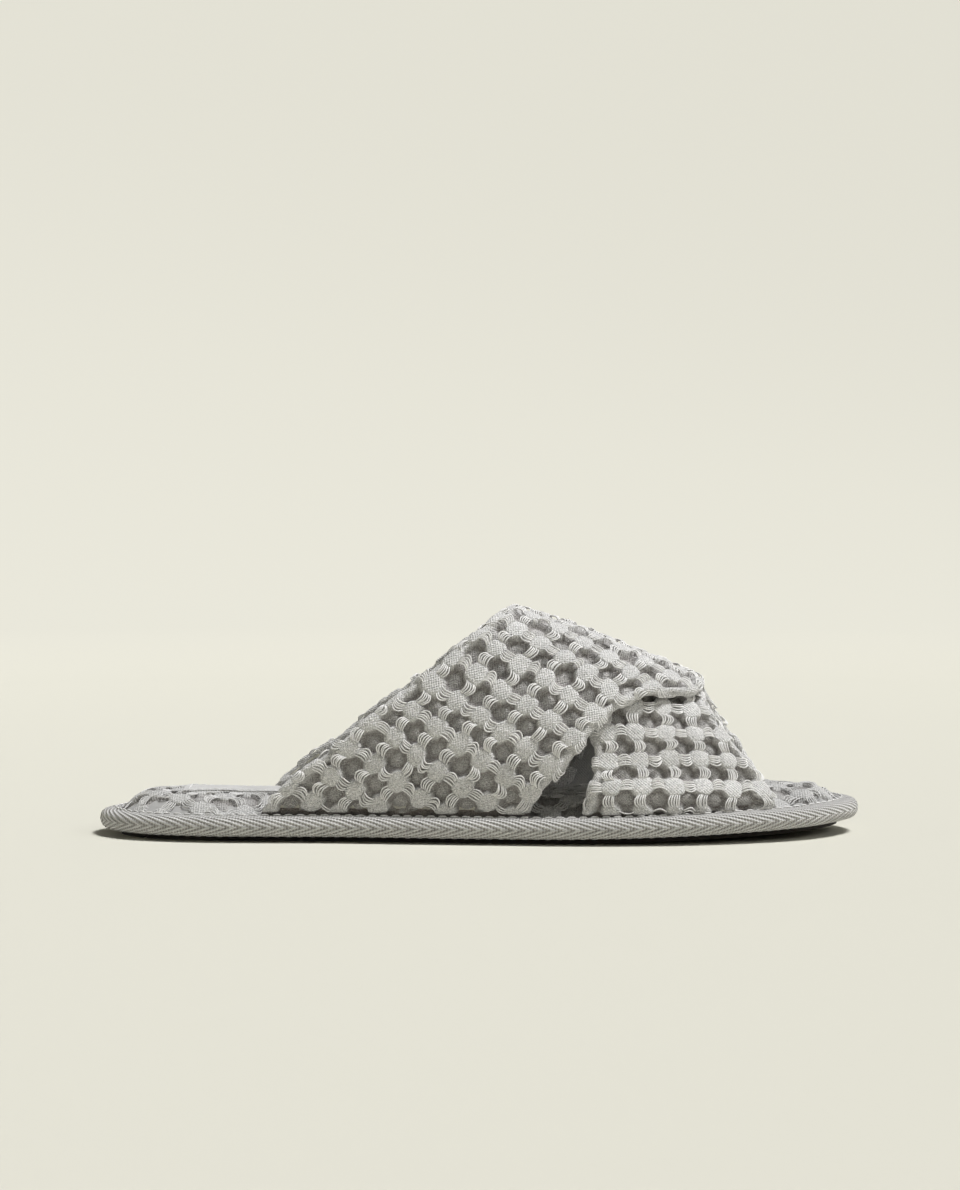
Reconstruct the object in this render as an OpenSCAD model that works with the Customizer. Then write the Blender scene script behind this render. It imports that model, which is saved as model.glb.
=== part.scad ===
// Spa slipper with two padded waffle-cloth straps that cross over the instep.
//
// Frame: +X from heel to toe, +Z up, the inner (big toe) side of the foot on +Y.
// The origin lies on the ground under the middle of the sole. Units are millimetres.
// "Inset" is a distance measured inwards from the sole's outer edge, square to it.

/* [Sole] */
// Length of the sole from heel to toe
sole_length = 265; // [235:5:295]
// Width of the sole at the ball of the foot
sole_width = 98; // [88:1:108]
// Height of the toe tip above the ground
toe_spring = 3.2; // [1:0.1:6]
// Thickness of the outsole under the edge of the board
outsole_thick = 2; // [1.5:0.1:3]
// Thickness of the stiff board inside the sole
board_thick = 2; // [1.5:0.1:3]
// Height of the middle of the footbed above the ground
footbed_height = 15.3; // [13:0.1:18]
// Thickness of the waffle cloth on the footbed
cover_thick = 2; // [1.2:0.1:2.4]
// Depth of the grip grooves under the outsole
groove_depth = 0.6; // [0.3:0.1:1]

/* [Binding] */
// How far the binding tape turns in over the top and under the board
turn_in = 7; // [6:0.5:8]
// Thickness of the binding tape
tape_thick = 1; // [0.6:0.1:1.2]
// Height of the bound edge
edge_height = 6.7; // [6:0.1:8]

/* [Straps] */
// Height of the crossing above the ground
vamp_height = 79.5; // [70:0.5:90]
// Thickness of one padded strap
strap_thick = 4.5; // [3.5:0.1:5.5]
// How far the strap sides swell out past their roots
side_swell = 3.5; // [0:0.5:5]
// Width of the waffle cloth turned in behind each strap edge
hem_return = 8; // [5:0.5:12]

/* [Label] */
// Length of the plain heel label
label_length = 46; // [30:1:60]
// Width of the plain heel label
label_width = 20; // [12:1:24]

/* [Stitches] */
// Distance from one stitch to the next
stitch_pitch = 4; // [3:0.5:6]
// Thickness of the sewing thread
thread = 0.35; // [0.2:0.05:0.5]

/* [Hidden] */

waffle_grey = [0.72, 0.71, 0.69];
tape_grey = [0.62, 0.61, 0.58];
lining_grey = [0.66, 0.65, 0.63];
foam_white = [0.9, 0.89, 0.84];
thread_grey = [0.8, 0.79, 0.77];
rubber_black = [0.09, 0.085, 0.08];

// The design points below are drawn for this size, and stretch to the one asked for.
drawn_length = 265;
drawn_width = 98.2;
stretch = [sole_length / drawn_length, sole_width / drawn_width];

gap = 0.05;
layer_inset = 3;
board_low = outsole_thick + tape_thick;
board_top = board_low + board_thick + gap;
mouth_top = outsole_thick + edge_height - tape_thick;
mouth_slope = 0.04;
tab_thick = 0.7;
seam_room = thread + gap;

// ---------------------------------------------------------------- outline of the sole

// Heel tip, along the inner side to the toe tip, and back along the outer side
outline_design = [
    [-132.5, -3.5], [-122, 19.5], [-95, 31], [-50, 30.5], [0, 34.5], [45, 45], [75, 49],
    [105, 42.5], [125, 24.5], [132.5, 5.5], [127.5, -13.5], [110, -32], [80, -44.5],
    [45, -49], [0, -45.5], [-50, -39.5], [-95, -37], [-122, -25.5]
];
outline_steps = 4;

function curve(p0, p1, p2, p3, t) =
    0.5 * (2 * p1 + (p2 - p0) * t + (2 * p0 - 5 * p1 + 4 * p2 - p3) * t * t
        + (3 * p1 - 3 * p2 + p3 - p0) * t * t * t);

function closed_curve(points, steps) =
    let (n = len(points))
    [for (i = [0 : n - 1], k = [0 : steps - 1])
        curve(points[(i + n - 1) % n], points[i], points[(i + 1) % n], points[(i + 2) % n],
            k / steps)];

outline = [for (p = closed_curve(outline_design, outline_steps))
    [p.x * stretch.x, p.y * stretch.y]];
count = len(outline);
half = count / 2;

function tangent(i) =
    let (d = outline[(i + 1) % count] - outline[(i + count - 1) % count]) d / norm(d);
function inward(i) = let (t = tangent(i)) [t.y, -t.x];
function inset_point(i, inset) = outline[i] + inward(i) * inset;
function inset_ring(inset) = [for (i = [0 : count - 1]) inset_point(i, inset)];

// Half-width of the sole at x on one side (+1 inner, -1 outer), at an inset
function side_table(side, inset) =
    let (first = side > 0 ? 0 : half)
    [for (k = [0 : half]) let (p = inset_point((first + k) % count, inset)) [p.x, abs(p.y)]];

// The toe curls up past the ball of the foot
spring_start = 22 * stretch.x;
spring_run = sole_length / 2 - spring_start;
spring_power = 1.35;
function lift(x) =
    x < spring_start ? 0 : toe_spring * pow((x - spring_start) / spring_run, spring_power);
function lift_angle(x) = atan(lift(x + 0.5) - lift(x - 0.5));

function clamp01(t) = min(1, max(0, t));
function ease(t) = let (c = clamp01(t)) c * c * (3 - 2 * c);
function mix(a, b, t) = a + (b - a) * t;
function turned(list) = [for (k = [len(list) - 1 : -1 : 0]) list[k]];

// ------------------------------------------------------------------- heights in the sole

// 1 where the straps press the footbed's rim down, 0 at the open heel and toe
press_rear = [-90, -74];
press_front = [103, 117];
function pressed(x) =
    let (u = x / stretch.x)
    min(ease((u - press_rear[0]) / (press_rear[1] - press_rear[0])),
        ease((press_front[1] - u) / (press_front[1] - press_front[0])));

function mouth_height(inset) = mouth_top + 0.15 + mouth_slope * (inset - layer_inset);
function swell(t) = pow(sin(90 * clamp01(t)), 0.9);
function open_top(inset) =
    let (rim = mouth_height(min(inset, turn_in)) - gap)
    rim + (footbed_height - rim) * swell((inset - turn_in) / 12);
function pressed_top(inset) =
    let (rim = mouth_height(min(inset, turn_in)) - seam_room - tab_thick - 2 * gap)
    rim + (footbed_height - rim) * swell((inset - 12) / 15);
function cover_top(x, inset) = mix(open_top(inset), pressed_top(inset), pressed(x));

// Share of the soft stack's height taken by each layer, thinner where it is squeezed
function stack(x, inset) = cover_top(x, inset) - board_top;
function cover_low(x, inset) =
    cover_top(x, inset) - min(cover_thick, 0.34 * stack(x, inset));
function backing_low(x, inset) =
    cover_low(x, inset) - min(0.5, 0.11 * stack(x, inset));

// Rings of points from the bound edge to the middle, each point with its inset
ring_insets = [layer_inset, turn_in, 9.5, 12, 14.5];
middle_steps = [0.35, 0.8];
middle_limit = 95 * stretch.x;
middle_depth = 14;
function middle_point(i) =
    let (p = (outline[i] + outline[(count - i) % count]) / 2)
    [min(middle_limit, max(-middle_limit, p.x)), p.y];
function sole_rings() = concat(
    [for (inset = ring_insets) [for (p = inset_ring(inset)) [p.x, p.y, inset]]],
    [for (t = middle_steps)
        [for (i = [0 : count - 1])
            let (
                last = ring_insets[len(ring_insets) - 1],
                p = mix(inset_point(i, last), middle_point(i), t)
            )
            [p.x, p.y, last + middle_depth * t]]]);

function raise(ring, height) =
    [for (p = ring) [p.x, p.y, height(p.x, p.z) + lift(p.x)]];

// A quad as two triangles, so that a bent quad has one meaning
function split(f) = len(f) == 3 ? [f] : [[f[0], f[1], f[2]], [f[0], f[2], f[3]]];

// Strip of faces between ring a and ring a + 1, and the strip that closes a flat end
function ring_faces(a) =
    [for (i = [0 : count - 1])
        let (j = (i + 1) % count)
        each split([a * count + i, a * count + j, (a + 1) * count + j, (a + 1) * count + i])];
function cap_faces(a, flip) =
    [for (i = [0 : half - 1])
        let (
            b = a * count,
            f = i == 0 ? [b, b + 1, b + count - 1]
                : i == half - 1 ? [b + i, b + half, b + count - i]
                : [b + i, b + i + 1, b + count - i - 1, b + count - i]
        )
        each split(flip ? turned(f) : f)];

// A sheet over the whole sole, between a lower and an upper height
module sole_layer(low, high) {
    rings = sole_rings();
    n = len(rings);
    below = [for (r = [n - 1 : -1 : 0]) each raise(rings[r], low)];
    above = [for (r = [0 : n - 1]) each raise(rings[r], high)];
    polyhedron(
        points = concat(below, above),
        faces = concat(
            cap_faces(0, true),
            [for (a = [0 : 2 * n - 2]) each ring_faces(a)],
            cap_faces(2 * n - 1, false)),
        convexity = 6);
}

// An exact slab of the sole: an inset outline cut to a band that follows the toe spring
module sole_slab(inset, low, high) {
    reach = sole_length / 2 + 5;
    steps = [for (x = [spring_start : 10 : reach]) x];
    band = concat(
        [[-reach, low]],
        [for (x = steps) [x, low + lift(x)]],
        [for (k = [len(steps) - 1 : -1 : 0]) [steps[k], high + lift(steps[k])]],
        [[-reach, high]]);
    intersection() {
        linear_extrude(height = 60) polygon(inset_ring(inset));
        rotate([90, 0, 0])
            linear_extrude(height = 2 * sole_width, center = true) polygon(band);
    }
}

// ---------------------------------------------------------------------------- sole pieces

groove_pitch = 9;
groove_width = 1.6;
groove_reach = 24;
groove_rake = 9;
seam_inset = turn_in - 1.4;

// One chevron groove that points to the toe
module groove() {
    linear_extrude(height = 2 * groove_depth, center = true)
        polygon([
            [-groove_rake, -groove_reach], [0, 0], [-groove_rake, groove_reach],
            [groove_width - groove_rake, groove_reach], [groove_width, 0],
            [groove_width - groove_rake, -groove_reach]
        ]);
}

// The outsole is set in from the edge and fills the space inside the turned-in tape
module outsole() {
    color(rubber_black)
        difference() {
            sole_slab(turn_in + 0.3, 0, board_low - gap);
            for (x = [-108 : groove_pitch : 108])
                translate([x * stretch.x, 0, lift(x * stretch.x)])
                    groove();
        }
}

module midsole_board() {
    color(foam_white)
        sole_slab(layer_inset, board_low + gap, board_top - gap);
}

module footbed_foam() {
    color(foam_white)
        sole_layer(function (x, inset) board_top, function (x, inset) backing_low(x, inset));
}

module footbed_backing() {
    color(lining_grey)
        sole_layer(function (x, inset) backing_low(x, inset) + gap / 5,
            function (x, inset) cover_low(x, inset));
}

module footbed_cover() {
    color(waffle_grey)
        sole_layer(function (x, inset) cover_low(x, inset) + gap / 5,
            function (x, inset) cover_top(x, inset));
}

// Section of the folded tape: [inset, height] round the outside, then back along the inside
edge_mid = outsole_thick + 0.5 * edge_height;
edge_top = outsole_thick + edge_height;
tape_section = [
    [turn_in, outsole_thick], [2.6, outsole_thick], [1.2, outsole_thick + 0.5],
    [0.35, mix(outsole_thick, edge_mid, 0.5)], [0, edge_mid],
    [0.35, mix(edge_mid, edge_top, 0.5)], [1.2, edge_top - 0.55], [2.6, edge_top],
    [turn_in, mouth_height(turn_in) + tape_thick],
    [turn_in, mouth_height(turn_in)], [layer_inset, mouth_height(layer_inset)],
    [2, mouth_top - 0.4], [1.35, mix(edge_mid, mouth_top, 0.5)], [tape_thick, edge_mid],
    [1.35, mix(edge_mid, board_low, 0.5)], [2, board_low + 0.4], [layer_inset, board_low],
    [turn_in, board_low]
];

module edge_binding() {
    n = len(tape_section);
    color(tape_grey)
        polyhedron(
            points = [for (i = [0 : count - 1], q = tape_section)
                let (p = inset_point(i, q[0])) [p.x, p.y, q[1] + lift(p.x)]],
            faces = [for (i = [0 : count - 1], k = [0 : n - 1])
                let (j = (i + 1) % count, m = (k + 1) % n)
                each split([i * n + k, i * n + m, j * n + m, j * n + k])],
            convexity = 8);
}

// ------------------------------------------------------------------------------- stitches

stitch_length = 2.4;
stitch_width = 0.6;
module stitch() {
    cube([stitch_length, stitch_width, thread], center = true);
}

// Even places along a closed ring of [x, y] points: each [x, y, heading]
function run_lengths(ring) =
    [for (i = 0, s = 0; i <= count;
        s = s + norm(ring[(i + 1) % count] - ring[i % count]), i = i + 1) s];
function even_places(ring, pitch) =
    let (runs = run_lengths(ring), places = floor(runs[count] / pitch))
    [for (k = [0 : places - 1])
        let (
            s = k * runs[count] / places,
            i = max([for (j = [0 : count - 1]) runs[j] <= s ? j : 0]),
            a = ring[i],
            b = ring[(i + 1) % count],
            p = mix(a, b, (s - runs[i]) / (runs[i + 1] - runs[i]))
        )
        [p.x, p.y, atan2(b.y - a.y, b.x - a.x)]];

module edge_seam(height, tilt) {
    for (q = even_places(inset_ring(seam_inset), stitch_pitch))
        translate([q[0], q[1], height + lift(q[0])])
            rotate([0, -lift_angle(q[0]), 0])
                rotate([0, 0, q[2]])
                    rotate([tilt, 0, 0])
                        stitch();
}

module binding_top_stitches() {
    color(thread_grey)
        edge_seam(mouth_height(seam_inset) + tape_thick + thread / 2 + 0.06,
            -atan(mouth_slope));
}

module binding_bottom_stitches() {
    color(thread_grey)
        edge_seam(outsole_thick - thread / 2 - 0.03, 0);
}

// ---------------------------------------------------------------------------- heel label

label_rear = -103 * stretch.x;
label_side = -12 * stretch.y;
label_thick = 0.6;
label_low = footbed_height + gap;
label_corner = 1.5;

module heel_label() {
    color(tape_grey)
        translate([label_rear, label_side, label_low])
            linear_extrude(height = label_thick)
                hull()
                    for (x = [label_corner, label_length - label_corner],
                        y = [label_corner, label_width - label_corner])
                        translate([x, y]) circle(r = label_corner, $fn = 24);
}

module label_seam_side(length, pitch) {
    places = floor(length / pitch);
    for (k = [0 : places - 1])
        translate([(k + 0.5) * length / places, 0, 0]) stitch();
}

module heel_label_stitches() {
    margin = 1.8;
    long_run = label_length - 2 * margin;
    short_run = label_width - 2 * margin;
    color(thread_grey)
        translate([label_rear + margin, label_side + margin,
            label_low + label_thick + thread / 2 + 0.02]) {
            for (y = [0, short_run])
                translate([0, y, 0]) label_seam_side(long_run, 3.2);
            for (x = [0, long_run])
                translate([x, 0, 0]) rotate([0, 0, 90]) label_seam_side(short_run, 3.2);
        }
}

// --------------------------------------------------------------------------------- straps
// A strap crosses the foot as an arch. The angle runs from 0 at its root on the outer side,
// over 90 at the top, to 180 at its root on the inner side. The over strap starts at the
// heel end of the outer side; the under strap crosses the other way and lies below it.

// Places of each strap's rear and front edges along X, every 15 degrees of the arch,
// counted from the root nearer the heel
over_rear = [-75.5, -51.5, -29.5, -11.5, 0, 7, 11, 16.5, 23, 27.5, 29, 27, 21];
over_front = [17, 31.5, 42.5, 55.5, 73, 78, 78.5, 79, 81, 86, 93, 97.5, 101.5];
under_rear = [-76.5, -53.5, -32.5, -15, -3, 6, 12, 19, 25.5, 31.5, 36.5, 38.2, 34.5];
under_front = [5, 20, 34.5, 50, 69, 77, 78.5, 79, 81, 86, 93.5, 98.5, 103];
edge_step = 15;

function edge_at(list, angle) =
    let (
        last = len(list) - 1,
        i = min(last - 1, floor(angle / edge_step)),
        t = angle / edge_step - i
    )
    stretch.x * curve(list[max(0, i - 1)], list[i], list[i + 1], list[min(last, i + 2)], t);

root_inset = turn_in + 0.3;
root_height = mouth_height(turn_in) - seam_room - gap;
// The vamp's ridge runs level at first and bends down into a slope over the toes
crest_peak = vamp_height + 4.35;
crest_bend = 2 * stretch.x;
crest_ease = 8 * stretch.x;
crest_slope = 0.35 / stretch.x;
function crest(x) =
    crest_peak - crest_slope * crest_ease * ln(1 + exp((x - crest_bend) / crest_ease))
        - 0.0008 * pow(max(0, x / stretch.x - 20), 2);
function from_root(angle) = min(angle, 180 - angle);
function side_bulge(angle) = side_swell * sin(180 * sqrt(clamp01(from_root(angle) / 45)));

// The under strap drops by one strap's thickness before the straps meet
lap_angles = [3, 19];
lap_drop = strap_thick + seam_room + 0.35;
function drop(angle, over) =
    over ? 0 : lap_drop * ease((from_root(angle) - lap_angles[0]) / (lap_angles[1] - lap_angles[0]));

// Straps are squeezed thin where they run into the binding
function padding(angle) =
    mix(tab_thick, strap_thick, pow(clamp01(from_root(angle) / 7), 0.6));

// Powers that fill out the arch's shoulders past a plain ellipse
side_round = 0.85;
crown_round = 0.84;

outer_table = side_table(-1, root_inset);
inner_table = side_table(1, root_inset);
function arch_point(x, angle, offset) =
    let (
        width = lookup(x, angle < 90 ? outer_table : inner_table) + side_bulge(angle) + offset,
        height = crest(x) - root_height + offset
    )
    [x, -width * sign(cos(angle)) * pow(abs(cos(angle)), side_round),
        root_height + height * pow(sin(angle), crown_round) + lift(x) * (1 - sin(angle))];

// The tab of the strap between the footbed's rim and the binding tape
tab_insets = [3.4, 4.8, 6.2];
function tab_point(x, side, inset, depth) =
    [x, side * lookup(x, side_table(side, inset)),
        mouth_height(inset) - seam_room - gap - depth * tab_thick + lift(x)];

root_angles = [0, 0.6, 1.5, 3, 5];
arch_angles = concat(root_angles, [for (angle = [9 : 6 : 171]) angle],
    [for (angle = turned(root_angles)) 180 - angle]);

// A section is a folded ribbon: two paths of the same length, each point [f, d, w], with
// f from 0 at the rear edge to 1 at the front one, d the distance in from that edge, and
// w from 0 on the outer face to 1 on the face next to the foot.
across = 6;
function span_points(d, w) = [for (k = [0 : across]) [k / across, d, w]];
function edge_points(list, f) = [for (q = list) [f, q[0], q[1]]];

// Depths of the layers' faces in a strap, as shares of its thickness
cloth_face = 0.47;
return_face = 0.78;
lining_face = 0.96;
layer_gap = 0.01;
fold_outer = [[hem_return, 1], [1.6, 1], [0.45, 0.85], [0, 0.5], [0.45, 0.15]];
fold_inner = [[hem_return, return_face], [1.9, return_face], [1.7, 0.72], [1.6, 0.63], [1.7, 0.54]];
waffle_section = [
    concat(edge_points(fold_outer, 0), span_points(1.6, 0), edge_points(turned(fold_outer), 1)),
    concat(edge_points(fold_inner, 0), span_points(1.9, cloth_face),
        edge_points(turned(fold_inner), 1))
];
foam_section = [
    span_points(2.1, cloth_face + layer_gap),
    span_points(2.1, return_face - layer_gap)
];
lining_section = [
    span_points(hem_return + 0.1, return_face),
    span_points(hem_return + 0.1, lining_face)
];

function place(q, rear, front) = mix(rear + q[1], front - q[1], q[0]);
function rear_at(angle, over) =
    over ? edge_at(over_rear, angle) : edge_at(under_rear, 180 - angle);
function front_at(angle, over) =
    over ? edge_at(over_front, angle) : edge_at(under_front, 180 - angle);
function arch_ring(section, angle, over) =
    let (rear = rear_at(angle, over), front = front_at(angle, over))
    [for (path = [section[0], turned(section[1])], q = path)
        arch_point(place(q, rear, front), angle,
            -q[2] * padding(angle) - drop(angle, over))];
function tab_ring(section, side, inset, over) =
    let (
        angle = side < 0 ? 0 : 180,
        rear = rear_at(angle, over),
        front = front_at(angle, over)
    )
    [for (path = [section[0], turned(section[1])], q = path)
        tab_point(place(q, rear, front), side, inset, q[2])];

module strap_layer(section, over) {
    rings = concat(
        [for (inset = tab_insets) tab_ring(section, -1, inset, over)],
        [for (angle = arch_angles) arch_ring(section, angle, over)],
        [for (inset = turned(tab_insets)) tab_ring(section, 1, inset, over)]);
    n = len(rings[0]);
    m = n / 2;
    last = (len(rings) - 1) * n;
    polyhedron(
        points = [for (ring = rings) each ring],
        faces = concat(
            [for (k = [0 : m - 2]) each split([k, n - 1 - k, n - 2 - k, k + 1])],
            [for (r = [0 : len(rings) - 2], k = [0 : n - 1])
                let (a = r * n, b = a + n, j = (k + 1) % n)
                each split([a + k, a + j, b + j, b + k])],
            [for (k = [0 : m - 2])
                each split([last + k, last + k + 1, last + n - 2 - k, last + n - 1 - k])]),
        convexity = 10);
}

// Rows of stitches that hold the turned-in cloth to the lining, inside both strap edges
module strap_seam(over) {
    for (f = [0, 1], angle = [12 : 6 : 168]) {
        rear = rear_at(angle, over);
        front = front_at(angle, over);
        x = place([f, hem_return - 1.2], rear, front);
        next = place([f, hem_return - 1.2], rear_at(angle + 1, over), front_at(angle + 1, over));
        depth = -strap_thick - thread / 2 - 0.12 - drop(angle, over);
        a = arch_point(x, angle, depth);
        run = arch_point(next, angle + 1, depth) - a;
        translate(a)
            rotate([0, -asin(run.z / norm(run)), atan2(run.y, run.x)])
                stitch();
    }
}

// Rows of stitches that hold the strap's tabs to the sole's rim under the binding
tab_seam_inset = 4.8;
module strap_end_seam(over) {
    height = mouth_height(tab_seam_inset) - gap - thread / 2;
    for (side = [-1, 1]) {
        angle = side < 0 ? 0 : 180;
        rear = rear_at(angle, over) + 3;
        front = front_at(angle, over) - 3;
        places = floor((front - rear) / stitch_pitch);
        table = side_table(side, tab_seam_inset);
        for (k = [0 : places]) {
            x = mix(rear, front, k / places);
            slope = side * (lookup(x + 1, table) - lookup(x - 1, table)) / 2;
            translate([x, side * lookup(x, table), height + lift(x)])
                rotate([0, -lift_angle(x), atan(slope)])
                    cube([stitch_length, thread, thread], center = true);
        }
    }
}

module over_strap_waffle() { color(waffle_grey) strap_layer(waffle_section, true); }
module over_strap_foam() { color(foam_white) strap_layer(foam_section, true); }
module over_strap_lining() { color(lining_grey) strap_layer(lining_section, true); }
module over_strap_seam_stitches() { color(thread_grey) strap_seam(true); }
module over_strap_end_stitches() { color(thread_grey) strap_end_seam(true); }
module under_strap_waffle() { color(waffle_grey) strap_layer(waffle_section, false); }
module under_strap_foam() { color(foam_white) strap_layer(foam_section, false); }
module under_strap_lining() { color(lining_grey) strap_layer(lining_section, false); }
module under_strap_seam_stitches() { color(thread_grey) strap_seam(false); }
module under_strap_end_stitches() { color(thread_grey) strap_end_seam(false); }

outsole();
midsole_board();
footbed_foam();
footbed_backing();
footbed_cover();
edge_binding();
binding_top_stitches();
binding_bottom_stitches();
heel_label();
heel_label_stitches();
over_strap_waffle();
over_strap_foam();
over_strap_lining();
over_strap_seam_stitches();
over_strap_end_stitches();
under_strap_waffle();
under_strap_foam();
under_strap_lining();
under_strap_seam_stitches();
under_strap_end_stitches();
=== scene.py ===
"""Looks of a spa slipper with crossed waffle-cloth straps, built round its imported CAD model.

Lengths in this script are millimetres in the CAD frame. They become metres where a mesh is made.
An inset is a distance measured inwards from the sole's outer edge, square to it.
"""
import math

import bpy
import numpy as np
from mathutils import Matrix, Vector
from mathutils.bvhtree import BVHTree
from mathutils.kdtree import KDTree


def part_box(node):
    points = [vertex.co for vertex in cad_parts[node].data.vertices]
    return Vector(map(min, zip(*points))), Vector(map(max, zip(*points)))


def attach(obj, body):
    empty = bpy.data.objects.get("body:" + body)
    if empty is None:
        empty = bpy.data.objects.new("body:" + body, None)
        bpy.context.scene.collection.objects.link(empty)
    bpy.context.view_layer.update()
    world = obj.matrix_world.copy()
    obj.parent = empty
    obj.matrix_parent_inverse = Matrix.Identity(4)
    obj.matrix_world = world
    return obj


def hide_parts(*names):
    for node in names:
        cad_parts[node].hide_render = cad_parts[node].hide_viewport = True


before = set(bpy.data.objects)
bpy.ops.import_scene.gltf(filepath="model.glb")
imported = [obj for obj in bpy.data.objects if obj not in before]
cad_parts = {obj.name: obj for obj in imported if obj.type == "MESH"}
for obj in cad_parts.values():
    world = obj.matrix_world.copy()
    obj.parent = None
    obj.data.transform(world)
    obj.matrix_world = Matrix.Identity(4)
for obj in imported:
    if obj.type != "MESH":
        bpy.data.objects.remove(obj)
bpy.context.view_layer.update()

MM = 0.001
BODY = "root"


def node_box(node):
    """Lowest and highest corner of a CAD node, in millimetres."""
    low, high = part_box(node)
    return np.array(low) / MM, np.array(high) / MM


# ---- driving dimensions

binding_low, binding_high = node_box("edge_binding")
label_low, label_high = node_box("heel_label")
label_middle = (label_low + label_high) / 2
label_half = (label_high - label_low) / 2

DRAWN_LENGTH = 265.0
DRAWN_WIDTH = 98.1
stretch_x = (binding_high[0] - binding_low[0]) / DRAWN_LENGTH
stretch_y = (binding_high[1] - binding_low[1]) / DRAWN_WIDTH

outsole_thick = binding_low[2]
edge_height = 6.7
tape_thick = 1.0
turn_in = 7.0
layer_inset = 3.0
mouth_top = outsole_thick + edge_height - tape_thick
mouth_slope = 0.04
thread_thick = 0.35
gap = 0.05
seam_room = thread_thick + gap
tab_thick = 0.7
board_thick = 2.0
board_top = outsole_thick + tape_thick + board_thick + gap
footbed_height = label_low[2] - gap
toe_spring = 3.2
strap_thick = 4.5
side_swell = 3.5
hem_return = 8.0
spring_start = 22.0 * stretch_x
spring_run = 132.5 * stretch_x - spring_start
SPRING_POWER = 1.35


def lift(x):
    """How far the toe spring raises the sole at x."""
    return toe_spring * (np.maximum(0.0, x - spring_start) / spring_run) ** SPRING_POWER


def ease(t):
    t = np.clip(t, 0.0, 1.0)
    return t * t * (3.0 - 2.0 * t)


def mix(a, b, t):
    return a + (b - a) * t


def unit(v):
    return v / np.maximum(1e-9, np.linalg.norm(v, axis=-1, keepdims=True))


class Noise:
    """Smooth noise in the plane, from -1 to 1, the same on every run."""

    SIZE = 64

    def __init__(self, seed):
        self.table = np.random.RandomState(seed).uniform(-1, 1, (self.SIZE, self.SIZE))

    def __call__(self, u, v):
        iu, iv = np.floor(u).astype(int), np.floor(v).astype(int)
        tu, tv = ease(u - iu), ease(v - iv)

        def corner(du, dv):
            return self.table[(iu + du) % self.SIZE, (iv + dv) % self.SIZE]

        return mix(mix(corner(0, 0), corner(1, 0), tu), mix(corner(0, 1), corner(1, 1), tu), tv)

    def cell(self, i, j):
        return self.table[i % self.SIZE, j % self.SIZE]


# ---- sole outline

# Heel tip, along the inner side to the toe tip, and back along the outer side
OUTLINE_DESIGN = [
    (-132.5, -3.5), (-122, 19.5), (-95, 31), (-50, 30.5), (0, 34.5), (45, 45), (75, 49),
    (105, 42.5), (125, 24.5), (132.5, 5.5), (127.5, -13.5), (110, -32), (80, -44.5),
    (45, -49), (0, -45.5), (-50, -39.5), (-95, -37), (-122, -25.5),
]


def curve(p0, p1, p2, p3, t):
    """Catmull-Rom curve between p1 and p2."""
    return 0.5 * (2 * p1 + (p2 - p0) * t + (2 * p0 - 5 * p1 + 4 * p2 - p3) * t * t
                  + (3 * p1 - 3 * p2 + p3 - p0) * t ** 3)


def closed_curve(points, steps):
    p = np.array(points, float)
    t = (np.arange(steps) / steps)[None, :, None]
    parts = [np.roll(p, s, 0)[:, None, :] for s in (1, 0, -1, -2)]
    return curve(*parts, t).reshape(-1, 2)


def ring_tangents(ring):
    return unit(np.roll(ring, -1, 0) - np.roll(ring, 1, 0))


outline = closed_curve(OUTLINE_DESIGN, 40) * (stretch_x, stretch_y)
outline_count = len(outline)
outline_half = outline_count // 2
outline_tangent = ring_tangents(outline)
outline_inward = np.stack([outline_tangent[:, 1], -outline_tangent[:, 0]], 1)


def side_table(side, inset):
    """x and half-width of one side of the sole (+1 inner, -1 outer) at an inset."""
    ring = outline + outline_inward * inset
    if side > 0:
        part = ring[: outline_half + 1]
    else:
        part = np.roll(ring, -outline_half, 0)[: outline_half + 1][::-1]
    return part[:, 0], np.abs(part[:, 1]) * np.sign(part[:, 1]) * side


# ---- heights of the sole

PRESS_REAR = (-90.0, -74.0)
PRESS_FRONT = (103.0, 117.0)
MOUTH_ROOM = 0.15
FREE_RUN = 12.0
HELD_START = 12.0
HELD_RUN = 15.0


def pressed(x):
    """1 where the straps press the footbed's rim down, 0 at the open heel and toe."""
    u = x / stretch_x
    rear = ease((u - PRESS_REAR[0]) / (PRESS_REAR[1] - PRESS_REAR[0]))
    front = ease((PRESS_FRONT[1] - u) / (PRESS_FRONT[1] - PRESS_FRONT[0]))
    return np.minimum(rear, front)


def mouth_height(inset):
    return mouth_top + MOUTH_ROOM + mouth_slope * (inset - layer_inset)


def swell(t):
    return np.sin(np.pi / 2 * np.clip(t, 0.0, 1.0)) ** 0.9


def cover_top(x, inset):
    """Height of the footbed's top over a flat sole."""
    rim = mouth_height(np.minimum(inset, turn_in)) - gap
    low_rim = rim - seam_room - tab_thick - gap
    free = rim + (footbed_height - rim) * swell((inset - turn_in) / FREE_RUN)
    held = low_rim + (footbed_height - low_rim) * swell((inset - HELD_START) / HELD_RUN)
    return mix(free, held, pressed(x))


# ---- strap surfaces
# A strap crosses the foot as an arch. The angle runs from 0 at its root on the outer side,
# over 90 at the top, to 180 at its root on the inner side.
# Edges are counted from the root nearer the heel, every 15 degrees.

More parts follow.
